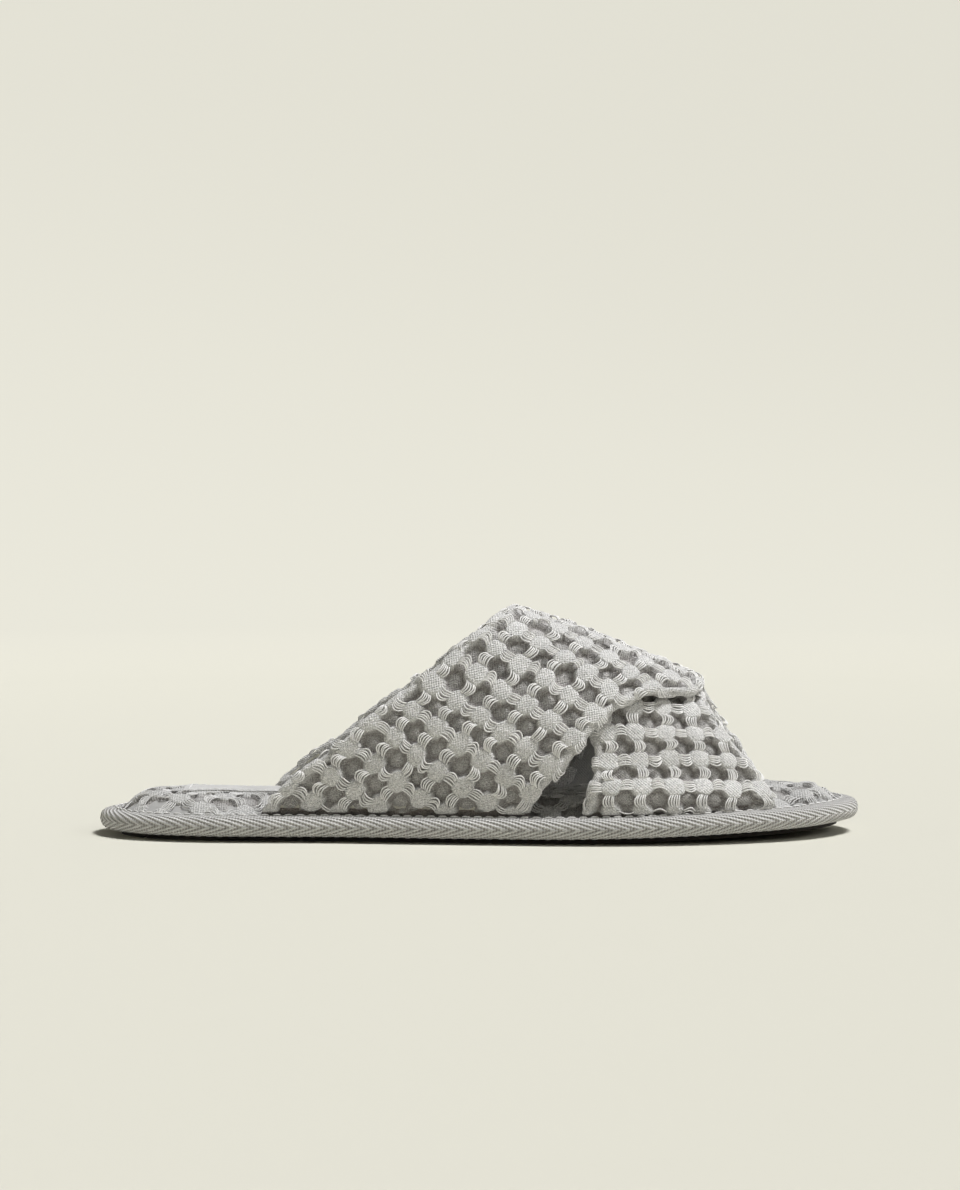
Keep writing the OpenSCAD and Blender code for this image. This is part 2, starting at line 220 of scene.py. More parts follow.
OVER_REAR = [-75.5, -51.5, -29.5, -11.5, 0, 7, 11, 16.5, 23, 27.5, 29, 27, 21]
OVER_FRONT = [17, 31.5, 42.5, 55.5, 73, 78, 78.5, 79, 81, 86, 93, 97.5, 101.5]
UNDER_REAR = [-76.5, -53.5, -32.5, -15, -3, 6, 12, 19, 25.5, 31.5, 36.5, 38.2, 34.5]
UNDER_FRONT = [5, 20, 34.5, 50, 69, 77, 78.5, 79, 81, 86, 93.5, 98.5, 103]
EDGE_STEP = 15.0
ROOT_INSET = turn_in + 0.3
root_height = float(mouth_height(turn_in)) - seam_room - gap
CREST_PEAK = 83.85
CREST_BEND = 2.0 * stretch_x
CREST_EASE = 8.0 * stretch_x
CREST_SLOPE = 0.35 / stretch_x
CREST_SAG = 0.0008
SAG_START = 20.0
SIDE_ROUND = 0.85
CROWN_ROUND = 0.84
LAP_ANGLES = (3.0, 19.0)
lap_drop = strap_thick + seam_room + 0.35
# The cloth's islands and floats stand a little above the padding's mean surface
SETTLE = 0.35
TUCK = 1.5
TUCK_ANGLE = 0.9
# Tab angle: the padding thins out to the sewn tab below it
TAB_ANGLE = 1.6
BULGE_ANGLE = 45.0
FIRST_ANGLE = 0.02
LAST_ANGLE = 179.98


def edge_at(values, angle):
    p = np.array(values, float)
    last = len(p) - 1
    i = np.clip(np.floor(angle / EDGE_STEP).astype(int), 0, last - 1)
    t = angle / EDGE_STEP - i
    around = [p[np.clip(i + s, 0, last)] for s in (-1, 0, 1, 2)]
    return stretch_x * curve(*around, t)


def from_root(angle):
    return np.minimum(angle, 180.0 - angle)


def crest(x):
    bend = CREST_EASE * np.log1p(np.exp((x - CREST_BEND) / CREST_EASE))
    sag = CREST_SAG * np.maximum(0, x / stretch_x - SAG_START) ** 2
    return CREST_PEAK - CREST_SLOPE * bend - sag


root_tables = {side: side_table(side, ROOT_INSET) for side in (-1, 1)}


def arch_point(x, angle, offset):
    """Point of the vamp's outer surface moved out by offset."""
    x, angle, offset = np.broadcast_arrays(x, angle, offset)
    a = np.radians(angle)
    half = np.where(angle < 90.0, np.interp(x, *root_tables[-1]), np.interp(x, *root_tables[1]))
    bulge = side_swell * np.sin(np.pi * np.sqrt(np.clip(from_root(angle) / BULGE_ANGLE, 0, 1)))
    width = half + bulge + offset
    height = crest(x) - root_height + offset
    c, s = np.cos(a), np.maximum(0.0, np.sin(a))
    y = -width * np.sign(c) * np.abs(c) ** SIDE_ROUND
    z = root_height + height * s ** CROWN_ROUND + lift(x) * (1 - s)
    return np.stack([x, y, z], -1)


def arch_normal(x, angle, offset):
    """Outward unit normal of the vamp's surface."""
    da = np.where(from_root(angle) < 0.4, 0.2, 0.3)
    low = np.clip(angle - da, FIRST_ANGLE, 179.6)
    high = np.clip(angle + da, 0.4, LAST_ANGLE)
    along = arch_point(x, high, offset) - arch_point(x, low, offset)
    across = arch_point(x + 0.4, angle, offset) - arch_point(x - 0.4, angle, offset)
    return unit(np.cross(across, along))


class Strap:
    """One of the two straps: its edges, its drop below the vamp's surface and its padding."""

    def __init__(self, name, over):
        self.name = name
        self.over = over

    def edges(self, angle):
        if self.over:
            return edge_at(OVER_REAR, angle), edge_at(OVER_FRONT, angle)
        return edge_at(UNDER_REAR, 180.0 - angle), edge_at(UNDER_FRONT, 180.0 - angle)

    def drop(self, angle):
        if self.over:
            return np.zeros_like(angle)
        low, high = LAP_ANGLES
        return lap_drop * ease((from_root(angle) - low) / (high - low))

    def padding(self, angle):
        return mix(tab_thick, strap_thick, np.clip(from_root(angle) / TAB_ANGLE, 0, 1) ** 0.7)

    def tuck(self, angle):
        """How far the strap is drawn in over the binding, just above its root."""
        return TUCK * (1 - ease(from_root(angle) / TUCK_ANGLE))

    def surface(self, x, angle, offset=0.0):
        return arch_point(x, angle, offset - self.drop(angle) - self.tuck(angle) - SETTLE)

    def normal(self, x, angle):
        return arch_normal(x, angle, -self.drop(angle) - self.tuck(angle) - SETTLE)

    def measure(self):
        """Angles and run lengths along the middle of the strap."""
        a = 90 - 90 * np.cos(np.linspace(0, math.pi, 3001))
        rear, front = self.edges(a)
        p = self.surface((rear + front) / 2, a)
        run = np.concatenate([[0], np.cumsum(np.linalg.norm(np.diff(p, axis=0), axis=1))])
        return a, run

    def even_angles(self, spacing):
        """Angles whose rows lie evenly spaced along the middle of the strap."""
        a, run = self.measure()
        angles = np.interp(np.linspace(0, run[-1], int(run[-1] / spacing)), run, a)
        angles[0], angles[-1] = FIRST_ANGLE, LAST_ANGLE
        return angles


over_strap = Strap("over_strap", True)
under_strap = Strap("under_strap", False)


# ---- flattened straps

def grid_triangles(rows, cols):
    index = np.arange(rows * cols).reshape(rows, cols)
    a, b = index[:-1, :-1].ravel(), index[:-1, 1:].ravel()
    c, d = index[1:, 1:].ravel(), index[1:, :-1].ravel()
    return np.concatenate([np.stack([a, b, c], 1), np.stack([a, c, d], 1)])


def flatten(points, pins):
    """Least-squares conformal flattening of a grid of points, at the grid's own scale."""
    rows, cols = points.shape[:2]
    p = points.reshape(-1, 3)
    tri = grid_triangles(rows, cols)
    e1, e2 = p[tri[:, 1]] - p[tri[:, 0]], p[tri[:, 2]] - p[tri[:, 0]]
    ax = unit(e1)
    x1, x2 = (e1 * ax).sum(1), (e2 * ax).sum(1)
    y2 = np.linalg.norm(e2 - ax * x2[:, None], axis=1)
    area = x1 * y2 / 2
    weight = 1 / np.sqrt(2 * area)
    corner = np.stack([
        (x2 - x1) + 1j * y2,
        -x2 - 1j * y2,
        x1 + 0j,
    ], 1) * weight[:, None]
    n = len(p)
    system = np.zeros((len(tri), n), complex)
    for k in range(3):
        system[np.arange(len(tri)), tri[:, k]] += corner[:, k]
    free = np.setdiff1d(np.arange(n), pins)
    target = np.array([0, np.linalg.norm(p[pins[1]] - p[pins[0]])], complex)
    a, b = system[:, free], -system[:, pins] @ target
    solved = np.zeros(n, complex)
    solved[free] = np.linalg.solve(a.conj().T @ a, a.conj().T @ b)
    solved[pins] = target
    flat_e1, flat_e2 = solved[tri[:, 1]] - solved[tri[:, 0]], solved[tri[:, 2]] - solved[tri[:, 0]]
    flat_area = np.abs((flat_e1.conj() * flat_e2).imag) / 2
    solved *= math.sqrt(area.sum() / flat_area.sum())
    return np.stack([solved.real, solved.imag], 1).reshape(rows, cols, 2)


class FlatMap:
    """Smooth map from (share across, angle) of a strap to places on its flat cloth."""

    ACROSS = 6
    ALONG = 11
    SHARES = 15
    ROW_SPACING = 3.6

    def __init__(self, strap, grain_turn, shift, slack):
        angles = strap.even_angles(self.ROW_SPACING)
        self.angle_table, self.run_table = strap.measure()
        share = np.linspace(0, 1, self.SHARES)
        rear, front = strap.edges(angles)
        x = rear[:, None] + (front - rear)[:, None] * share[None, :]
        points = strap.surface(x, np.repeat(angles[:, None], len(share), 1))
        mid = len(share) // 2
        pins = np.array([mid, (len(angles) - 1) * len(share) + mid])
        flat = flatten(points, pins)
        # The grain is laid along the middle of the strap's outer side
        near = (angles > 12) & (angles < 60)
        centre = flat[near][:, mid]
        course = unit(centre[-1] - centre[0])
        c, s = math.cos(math.radians(grain_turn)), math.sin(math.radians(grain_turn))
        turn = np.array([[course[1], -course[0]], [course[0], course[1]]])
        turn = np.array([[c, -s], [s, c]]) @ turn
        flat = (flat - flat[len(angles) // 2, mid]) @ turn.T
        inner_edge = flat[:, -1] - flat[:, 0]
        if inner_edge[:, 0].mean() < 0:
            flat[..., 0] *= -1
        flat = (flat + shift) / np.array([1.0, slack])
        f, a = np.meshgrid(share, angles)
        self.fit = np.linalg.lstsq(self.terms(f.ravel(), a.ravel()), flat.reshape(-1, 2),
                                   rcond=None)[0]

    def terms(self, share, angle):
        u = np.clip(2 * share - 1, -1, 1)
        v = 2 * np.interp(angle, self.angle_table, self.run_table) / self.run_table[-1] - 1
        v = np.clip(v, -1, 1)
        parts = []
        for i in range(self.ACROSS):
            for j in range(self.ALONG):
                parts.append(np.cos(i * np.arccos(u)) * np.cos(j * np.arccos(v)))
        return np.stack(parts, 1)

    def __call__(self, share, angle):
        shape = np.broadcast(share, angle).shape
        f = np.broadcast_to(share, shape).ravel()
        a = np.broadcast_to(angle, shape).ravel()
        return (self.terms(f, a) @ self.fit).reshape(shape + (2,))


# ---- waffle weave

PITCH = 10.1
ISLAND = 3.35
ISLAND_POWER = 2.8
BUNDLE = 1.8
PIT_DEPTH = 3.0
PIT_CROWN = 0.7
FLOAT_BED = 1.9
ISLAND_TOP = 0.3
ISLAND_DOME = 0.4
ISLAND_EDGE = 0.75
STRIP_EDGE = 1.2
UNEVEN_SIZE = 0.07
UNEVEN_HEIGHT = 0.22
RAGGED = 0.3
SWAY, SWAY_RUN = 0.8, 17
WOBBLE, WOBBLE_RUN = 0.4, 6.1
# Tones of painted shade: on the beds under the floats, by the pit walls, and lighter towards a
# pit's middle
FLOAT_BED_PAINTED_SHADE = 0.35
PIT_WALL_PAINTED_SHADE = 0.25
PIT_MIDDLE_PAINTED_LIGHT = 0.3
drift = Noise(11)
drift_across = Noise(12)
cell_height = Noise(13)
fuzz = Noise(14)


def drifted(uv):
    """Places on the cloth, shifted a little as a loose weave is."""
    u, v = uv[..., 0], uv[..., 1]
    slow_u, slow_v = u / SWAY_RUN, v / SWAY_RUN
    fast_u, fast_v = u / WOBBLE_RUN, v / WOBBLE_RUN
    du = SWAY * drift(slow_u, slow_v) + WOBBLE * drift(fast_u + 9, fast_v)
    dv = SWAY * drift_across(slow_u, slow_v) + WOBBLE * drift_across(fast_u, fast_v + 7)
    return np.stack([u + du, v + dv], -1)


def relief(uv):
    """Height of the waffle cloth and its tone, a painted shade: 0 in a pit, 1 on an island."""
    moved = drifted(uv) / PITCH
    u, v = moved[..., 0], moved[..., 1]
    a = PITCH * np.abs(u - np.floor(u) - 0.5)
    b = PITCH * np.abs(v - np.floor(v) - 0.5)
    i, j = np.floor(u).astype(int), np.floor(v).astype(int)
    round_off = (a ** ISLAND_POWER + b ** ISLAND_POWER) ** (1 / ISLAND_POWER)
    size = ISLAND * (1 + UNEVEN_SIZE * cell_height.cell(i, j))
    ragged = RAGGED * fuzz(uv[..., 0] / 1.3, uv[..., 1] / 1.3)
    island = 1 - ease((round_off - size + ragged + 0.25) / ISLAND_EDGE)
    strip = 1 - ease((np.minimum(a, b) - BUNDLE + STRIP_EDGE / 2) / STRIP_EDGE)
    pit_middle = np.hypot(PITCH / 2 - a, PITCH / 2 - b)
    ground = -PIT_DEPTH + PIT_CROWN * (1 - ease(pit_middle / 2.6))
    bed = mix(ground, -FLOAT_BED, strip)
    dome = ISLAND_TOP - ISLAND_DOME * (round_off / ISLAND) ** 2
    top = dome + UNEVEN_HEIGHT * cell_height.cell(i + 17, j + 5)
    top = top + 0.09 * fuzz(uv[..., 0] / 0.8, uv[..., 1] / 0.8)
    top = top + 0.12 * fuzz(uv[..., 0] / 2.3 + 5, uv[..., 1] / 2.3)
    height = mix(bed, top, island)
    # Painted shade: darkest by the pit walls, lighter at the pit's middle, mid-dark on the beds
    # under the floats
    pit_floor_painted_shade = PIT_WALL_PAINTED_SHADE + PIT_MIDDLE_PAINTED_LIGHT * (1 - ease((pit_middle - 1.4) / 1.6))
    tone = mix(mix(pit_floor_painted_shade, FLOAT_BED_PAINTED_SHADE, strip), 1.0, island)
    return height, tone


THREADS = 5
THREAD_STEPS = 9
THREAD_SPREAD = 0.6
THREAD_BOW = 0.22
LEAN = (0.4, 1.6)
RISE = (0.35, 0.85)


def undrifted(uv):
    """Places whose drifted position is uv."""
    guess = uv.copy()
    for _ in range(4):
        guess += uv - drifted(guess)
    return guess


def float_lines(places, seed):
    """Threads that float between neighbouring islands: steps of (u, v, height)."""
    rng = np.random.RandomState(seed)
    low, high = places.reshape(-1, 2).min(0), places.reshape(-1, 2).max(0)
    i0, j0 = np.floor(low / PITCH).astype(int) - 1
    i1, j1 = np.ceil(high / PITCH).astype(int) + 1
    t = np.linspace(-1, 1, THREAD_STEPS)
    bow = 1 - t * t
    reach = PITCH / 2 - ISLAND + 0.5
    lines = []
    for i in range(i0, i1):
        for j in range(j0, j1):
            for axis in (0, 1):
                centre = np.array([i + 0.5, j] if axis == 0 else [i, j + 0.5]) * PITCH
                lean = rng.choice([-1, 1]) * rng.uniform(*LEAN)
                rise = rng.uniform(*RISE)
                for k in range(THREADS):
                    place = k - (THREADS - 1) / 2
                    fan = place * (THREAD_SPREAD + THREAD_BOW * bow)
                    spread = fan + lean * bow + rng.uniform(-0.15, 0.15)
                    along = reach * t + rng.uniform(-0.2, 0.2)
                    up = rise * rng.uniform(0.7, 1.25) * (1 - np.abs(t) ** 2.2)
                    up = up - 0.5 * np.abs(t) ** 4 - 0.05
                    pair = (spread, along) if axis == 0 else (along, spread)
                    lines.append(np.stack([centre[0] + pair[0], centre[1] + pair[1], up], 1))
    lines = np.array(lines)
    lines[..., :2] = undrifted(lines[..., :2])
    return lines


# ---- mesh making

# Millimetres of cloth in one unit of its map
MAP_UNIT = 100


def link_object(name, data):
    obj = bpy.data.objects.new(name, data)
    bpy.context.scene.collection.objects.link(obj)
    return obj


def make_object(name, points, faces, uv=None, tone=None):
    """Object from points in millimetres, with an optional cloth map and a tone per point, which
    the waffle material turns into painted shade.
    """
    mesh = bpy.data.meshes.new(name)
    mesh.from_pydata((np.asarray(points).reshape(-1, 3) * MM).tolist(), [],
                     [list(map(int, f)) for f in faces])
    corners = np.zeros(len(mesh.loops), np.int32)
    mesh.loops.foreach_get("vertex_index", corners)
    if uv is not None:
        layer = mesh.uv_layers.new(name="cloth")
        layer.data.foreach_set("uv", (np.asarray(uv).reshape(-1, 2)[corners] / MAP_UNIT).ravel())
    if tone is not None:
        layer = mesh.attributes.new("tone", "FLOAT", "POINT")
        layer.data.foreach_set("value", np.asarray(tone, np.float32).ravel())
    mesh.shade_smooth()
    mesh.validate()
    mesh.update()
    return link_object(name, mesh)


def grid_faces(rows, cols, close_rows=False, close_cols=False, start=0):
    r = np.arange(rows if close_rows else rows - 1)
    c = np.arange(cols if close_cols else cols - 1)
    rr, cc = np.meshgrid(r, c, indexing="ij")
    r2, c2 = (rr + 1) % rows, (cc + 1) % cols
    quad = np.stack([rr * cols + cc, rr * cols + c2, r2 * cols + c2, r2 * cols + cc], -1)
    return quad.reshape(-1, 4) + start


def sleeve_faces(rows, count, turn=1):
    """Faces of a sleeve of closed sections with both ends capped; turn -1 reverses them."""
    section = np.arange(count)
    ends = [section[::-turn], ((rows - 1) * count + section)[::turn]]
    return list(grid_faces(rows, count, close_cols=True)[:, ::turn]) + ends


def rim_order(rows, cols):
    """Point numbers round the rim of a grid."""
    index = np.arange(rows * cols).reshape(rows, cols)
    return np.concatenate([index[0, :-1], index[:-1, -1], index[-1, :0:-1], index[:0:-1, 0]])


def wall_faces(rim, low):
    """Faces between two closed rows of points."""
    return np.stack([rim, low, np.roll(low, -1), np.roll(rim, -1)], 1)


def flat_tree(points, step=1):
    """Finder of the nearest place in the plane, among every step-th point."""
    tree = KDTree(len(points) // step + 1)
    for k in range(0, len(points), step):
        tree.insert((points[k, 0], points[k, 1], 0.0), k)
    tree.balance()
    return tree


def nearest(tree, line):
    """Numbers of the points nearest to a line's steps, and the greatest distance to one."""
    found = [tree.find((p[0], p[1], 0.0)) for p in line]
    return np.array([f[1] for f in found]), max(f[2] for f in found)


def tubes(lines, normals, radius, sides=6, taper=0.75):
    """Points and faces of round threads along lines (thread, step, 3), with capped ends."""
    count, steps = lines.shape[:2]
    tangent = unit(np.gradient(lines, axis=1))
    side = unit(np.cross(tangent, normals))
    up = np.cross(side, tangent)
    r = radius * (1 - (1 - taper) * np.linspace(-1, 1, steps) ** 4)[None, :, None, None]
    turn = np.arange(sides) * 2 * math.pi / sides
    ring = (np.cos(turn)[None, None, :, None] * side[:, :, None, :]
            + np.sin(turn)[None, None, :, None] * up[:, :, None, :])
    points = lines[:, :, None, :] + r * ring
    one = grid_faces(steps, sides, close_cols=True)
    faces = (one[None] + (np.arange(count) * steps * sides)[:, None, None]).reshape(-1, 4)
    first = np.arange(sides)[::-1]
    last = (steps - 1) * sides + np.arange(sides)
    caps = [end + k * steps * sides for k in range(count) for end in (first, last)]
    return points.reshape(-1, 3), list(faces) + caps


# ---- waffle cloth straps

class StrapCloth:
    """The waffle cloth of one strap: outer face, both folded edges and the returns inside."""

    SPACING = 0.56
    RETURN_STEPS = 9
    ARC_STEPS = 13
    RETURN_RELIEF = 0.12
    FOLD_RELIEF = 0.3
    LEDGE_TOP = 1.8
    LEDGE_FADE = 0.9
    LEDGE_DIP = 0.8
    BARE_BELOW = 2.4
    SKIN_SHARE = 0.72
    SKIN_DEPTH = 3.22
    THREAD_RADIUS = 0.25
    HEM_COLS = 1.5
    HEM_BLEND = 6.0
    HEM_PAINTED_SHADE = 0.85

    def __init__(self, strap, flat_map):
        self.strap = strap
        self.flat_map = flat_map
        self.angles = strap.even_angles(self.SPACING)
        self.build()

    def edge_frame(self, which):
        """Edge inset points of every row: x, share, outward direction in space and on cloth."""
        a, strap = self.angles, self.strap
        rear, front = strap.edges(a)
        x_edge = rear if which == 0 else front
        inward = 1.0 if which == 0 else -1.0
        da = 0.25
        low, high = np.clip([a - da, a + da], FIRST_ANGLE, LAST_ANGLE)
        edge_low = strap.surface(strap.edges(low)[which], low)
        edge_high = strap.surface(strap.edges(high)[which], high)
        tangent = unit(edge_high - edge_low)
        normal = strap.normal(x_edge, a)
        outward = unit(np.cross(tangent, normal))
        along_x = strap.surface(x_edge + 0.5, a) - strap.surface(x_edge - 0.5, a)
        outward *= -np.sign((outward * along_x).sum(1) * inward)[:, None]
        reach = np.abs((outward * along_x).sum(1))
        radius = strap.padding(a) / 2
        x = x_edge + inward * np.minimum(radius / np.maximum(0.25, reach), 5.0)
        share = (x - rear) / (front - rear)
        flat_low = self.flat_map(share, low)
        flat_high = self.flat_map(share, high)
        run = unit(flat_high - flat_low)
        cloth_out = np.stack([run[:, 1], -run[:, 0]], 1)
        across = self.flat_map(np.ones_like(a) * 0.6, a) - self.flat_map(np.ones_like(a) * 0.4, a)
        sign = np.sign((cloth_out * across).sum(1)) * -inward
        cloth_out *= sign[:, None]
        return x, share, radius, outward, reach, inward, cloth_out

    def build(self):
        """Lay out the cloth's mean surface, its map, its relief and its tone, a painted shade."""
        a, strap = self.angles, self.strap
        rear, front = strap.edges(a)
        sides = [self.edge_frame(0), self.edge_frame(1)]
        share0, share1 = [side[1] for side in sides]
        span = strap.surface(front, a) - strap.surface(rear, a)
        width = np.linalg.norm(span, axis=1).max()
        cols = int(width / self.SPACING)
        t = np.linspace(0, 1, cols)
        share = share0[:, None] + (share1 - share0)[:, None] * t[None, :]
        x = rear[:, None] + (front - rear)[:, None] * share
        angle = np.repeat(a[:, None], cols, 1)
        face = strap.surface(x, angle)
        face_normal = strap.normal(x, angle)
        face_uv = self.flat_map(share, angle)

        parts = []
        for which, (ex, es, radius, outward, reach, inward, cloth_out) in enumerate(sides):
            normal = strap.normal(ex, a)
            outward = unit(outward - normal * (outward * normal).sum(1)[:, None])
            top = strap.surface(ex, a)
            centre = top - normal * radius[:, None]
            turn = np.linspace(0, math.pi, self.ARC_STEPS + 1)[1:]
            arc_dir = (normal[:, None, :] * np.cos(turn)[None, :, None]
                       + outward[:, None, :] * np.sin(turn)[None, :, None])
            arc = centre[:, None, :] + arc_dir * radius[:, None, None]
            arc_uv = (self.flat_map(es, a)[:, None, :] + cloth_out[:, None, :]
                      * (radius[:, None, None] * turn[None, :, None]))
            s = np.linspace(0, hem_return, self.RETURN_STEPS + 1)[1:]
            shift = inward * s[None, :] / np.maximum(0.4, reach)[:, None]
            back_x = ex[:, None] + shift
            back_angle = np.repeat(a[:, None], len(s), 1)
            back_normal = strap.normal(back_x, back_angle)
            thick = strap.padding(a)[:, None, None]
            back = strap.surface(back_x, back_angle) - back_normal * thick
            back_uv = arc_uv[:, -1:, :] + cloth_out[:, None, :] * s[None, :, None]
            points = np.concatenate([arc, back], 1)
            normals = np.concatenate([arc_dir, -back_normal], 1)
            uv = np.concatenate([arc_uv, back_uv], 1)
            if which == 0:
                points, normals, uv = points[:, ::-1], normals[:, ::-1], uv[:, ::-1]
            parts.append((points, normals, uv))

        middle = (face, face_normal, face_uv)
        self.base, self.normals, self.uv = [
            np.concatenate([parts[0][k], middle[k], parts[1][k]], 1) for k in range(3)]
        side_cols = self.ARC_STEPS + self.RETURN_STEPS
        self.side_cols = side_cols
        height, tone = relief(self.uv)
        fade = ease(from_root(a) / 1.2)[:, None]
        column = np.arange(self.base.shape[1])
        inside = np.minimum(column, self.base.shape[1] - 1 - column)
        # Shallow on the folded edge and the return, deep on the face
        deep = ease((inside - side_cols - self.HEM_COLS) / self.HEM_BLEND)[None, :]
        returned = inside < self.RETURN_STEPS
        shallow = np.where(returned, self.RETURN_RELIEF, self.FOLD_RELIEF)[None, :]
        scale = mix(0.2, 1.0, fade) * mix(shallow, 1.0, deep)
        self.height = np.where(height < 0, height * scale, height * mix(0.5, 1.0, fade))
        self.fade = fade * mix(0.45, 1.0, deep)
        # The cloth dips in a narrow ledge over the tape, and painted shade darkens it there
        self.above = self.base[..., 2] - np.minimum(self.base[:1, :, 2], self.base[-1:, :, 2])
        ledge_dip_and_shade = 1 - ease((self.above - self.LEDGE_TOP) / self.LEDGE_FADE)
        self.height = self.height - self.LEDGE_DIP * ledge_dip_and_shade
        # Tone is a painted shade: a flat level on the folded edges, the weave's pattern on the
        # face, and darkest in the ledge
        self.tone = mix(mix(self.HEM_PAINTED_SHADE, tone, deep), 0.0, ledge_dip_and_shade)

    def make(self):
        rows, cols = self.base.shape[:2]
        outer = self.base + self.normals * self.height[..., None]
        # A plain inner skin closes the cloth round the padding
        picks = np.unique(np.concatenate([
            np.arange(0, self.RETURN_STEPS + 1, 3),
            np.arange(self.RETURN_STEPS, self.side_cols + 1, 4),
            np.linspace(self.side_cols, cols - 1 - self.side_cols, 14).astype(int),
            cols - 1 - np.arange(self.RETURN_STEPS, self.side_cols + 1, 4),
            cols - 1 - np.arange(0, self.RETURN_STEPS + 1, 3),
        ]))[::-1]
        padding = self.strap.padding(self.angles)
        thin = np.minimum(self.SKIN_SHARE * padding, self.SKIN_DEPTH)[:, None, None]
        at_side = np.minimum(picks, cols - 1 - picks)
        share = np.where(at_side < self.side_cols - 6, 0.25, 1.0)[None, :, None]
        inner = self.base[:, picks] - self.normals[:, picks] * thin * share
        loop = np.concatenate([outer, inner], 1)
        inner_uv = self.uv[:, picks]
        uv = np.concatenate([self.uv, inner_uv], 1)
        # The inner skin takes tone 0, the darkest painted shade
        tone = np.concatenate([self.tone, np.zeros(inner_uv.shape[:2])], 1)
        count = loop.shape[1]
        return make_object(self.strap.name + "_waffle_cloth", loop, sleeve_faces(rows, count), uv,
                           tone)

    def lift_to_strap(self, lines):
        """Thread lines on the flat cloth, carried onto the strap."""
        rows, cols = self.base.shape[:2]
        flat = self.uv.reshape(-1, 2)
        tree = flat_tree(flat)
        base, normals = self.base.reshape(-1, 3), self.normals.reshape(-1, 3)
        d_row = np.gradient(self.uv, axis=0).reshape(-1, 2)
        d_col = np.gradient(self.uv, axis=1).reshape(-1, 2)
        p_row = np.gradient(self.base, axis=0).reshape(-1, 3)
        p_col = np.gradient(self.base, axis=1).reshape(-1, 3)
        fades = self.fade.ravel()
        above = self.above.ravel()
        column = np.tile(np.arange(cols), rows)
        kept, kept_normals = [], []
        for line in lines:
            place = line[:, :2]
            k, far = nearest(tree, place)
            side = np.minimum(column[k], cols - 1 - column[k]).min()
            if far > 1.1 or side < self.RETURN_STEPS + 4 or above[k].min() < self.BARE_BELOW:
                continue
            jac = np.stack([d_row[k], d_col[k]], 2)
            away = (place - flat[k])[..., None]
            turned = jac.transpose(0, 2, 1)
            square = turned @ jac + 1e-4 * np.eye(2)
            delta = np.clip(np.linalg.solve(square, turned @ away)[..., 0], -2, 2)
            p = base[k] + p_row[k] * delta[:, :1] + p_col[k] * delta[:, 1:]
            n = normals[k]
            p = p + n * (line[:, 2] * mix(0.3, 1.0, fades[k]))[:, None]
            kept.append(p)
            kept_normals.append(n)
        return np.array(kept), np.array(kept_normals)

    def make_threads(self, seed):
        lines, normals = self.lift_to_strap(float_lines(self.uv, seed))
        points, faces = tubes(lines, normals, self.THREAD_RADIUS)
        return make_object(self.strap.name + "_float_threads", points, faces)


# ---- the footbed

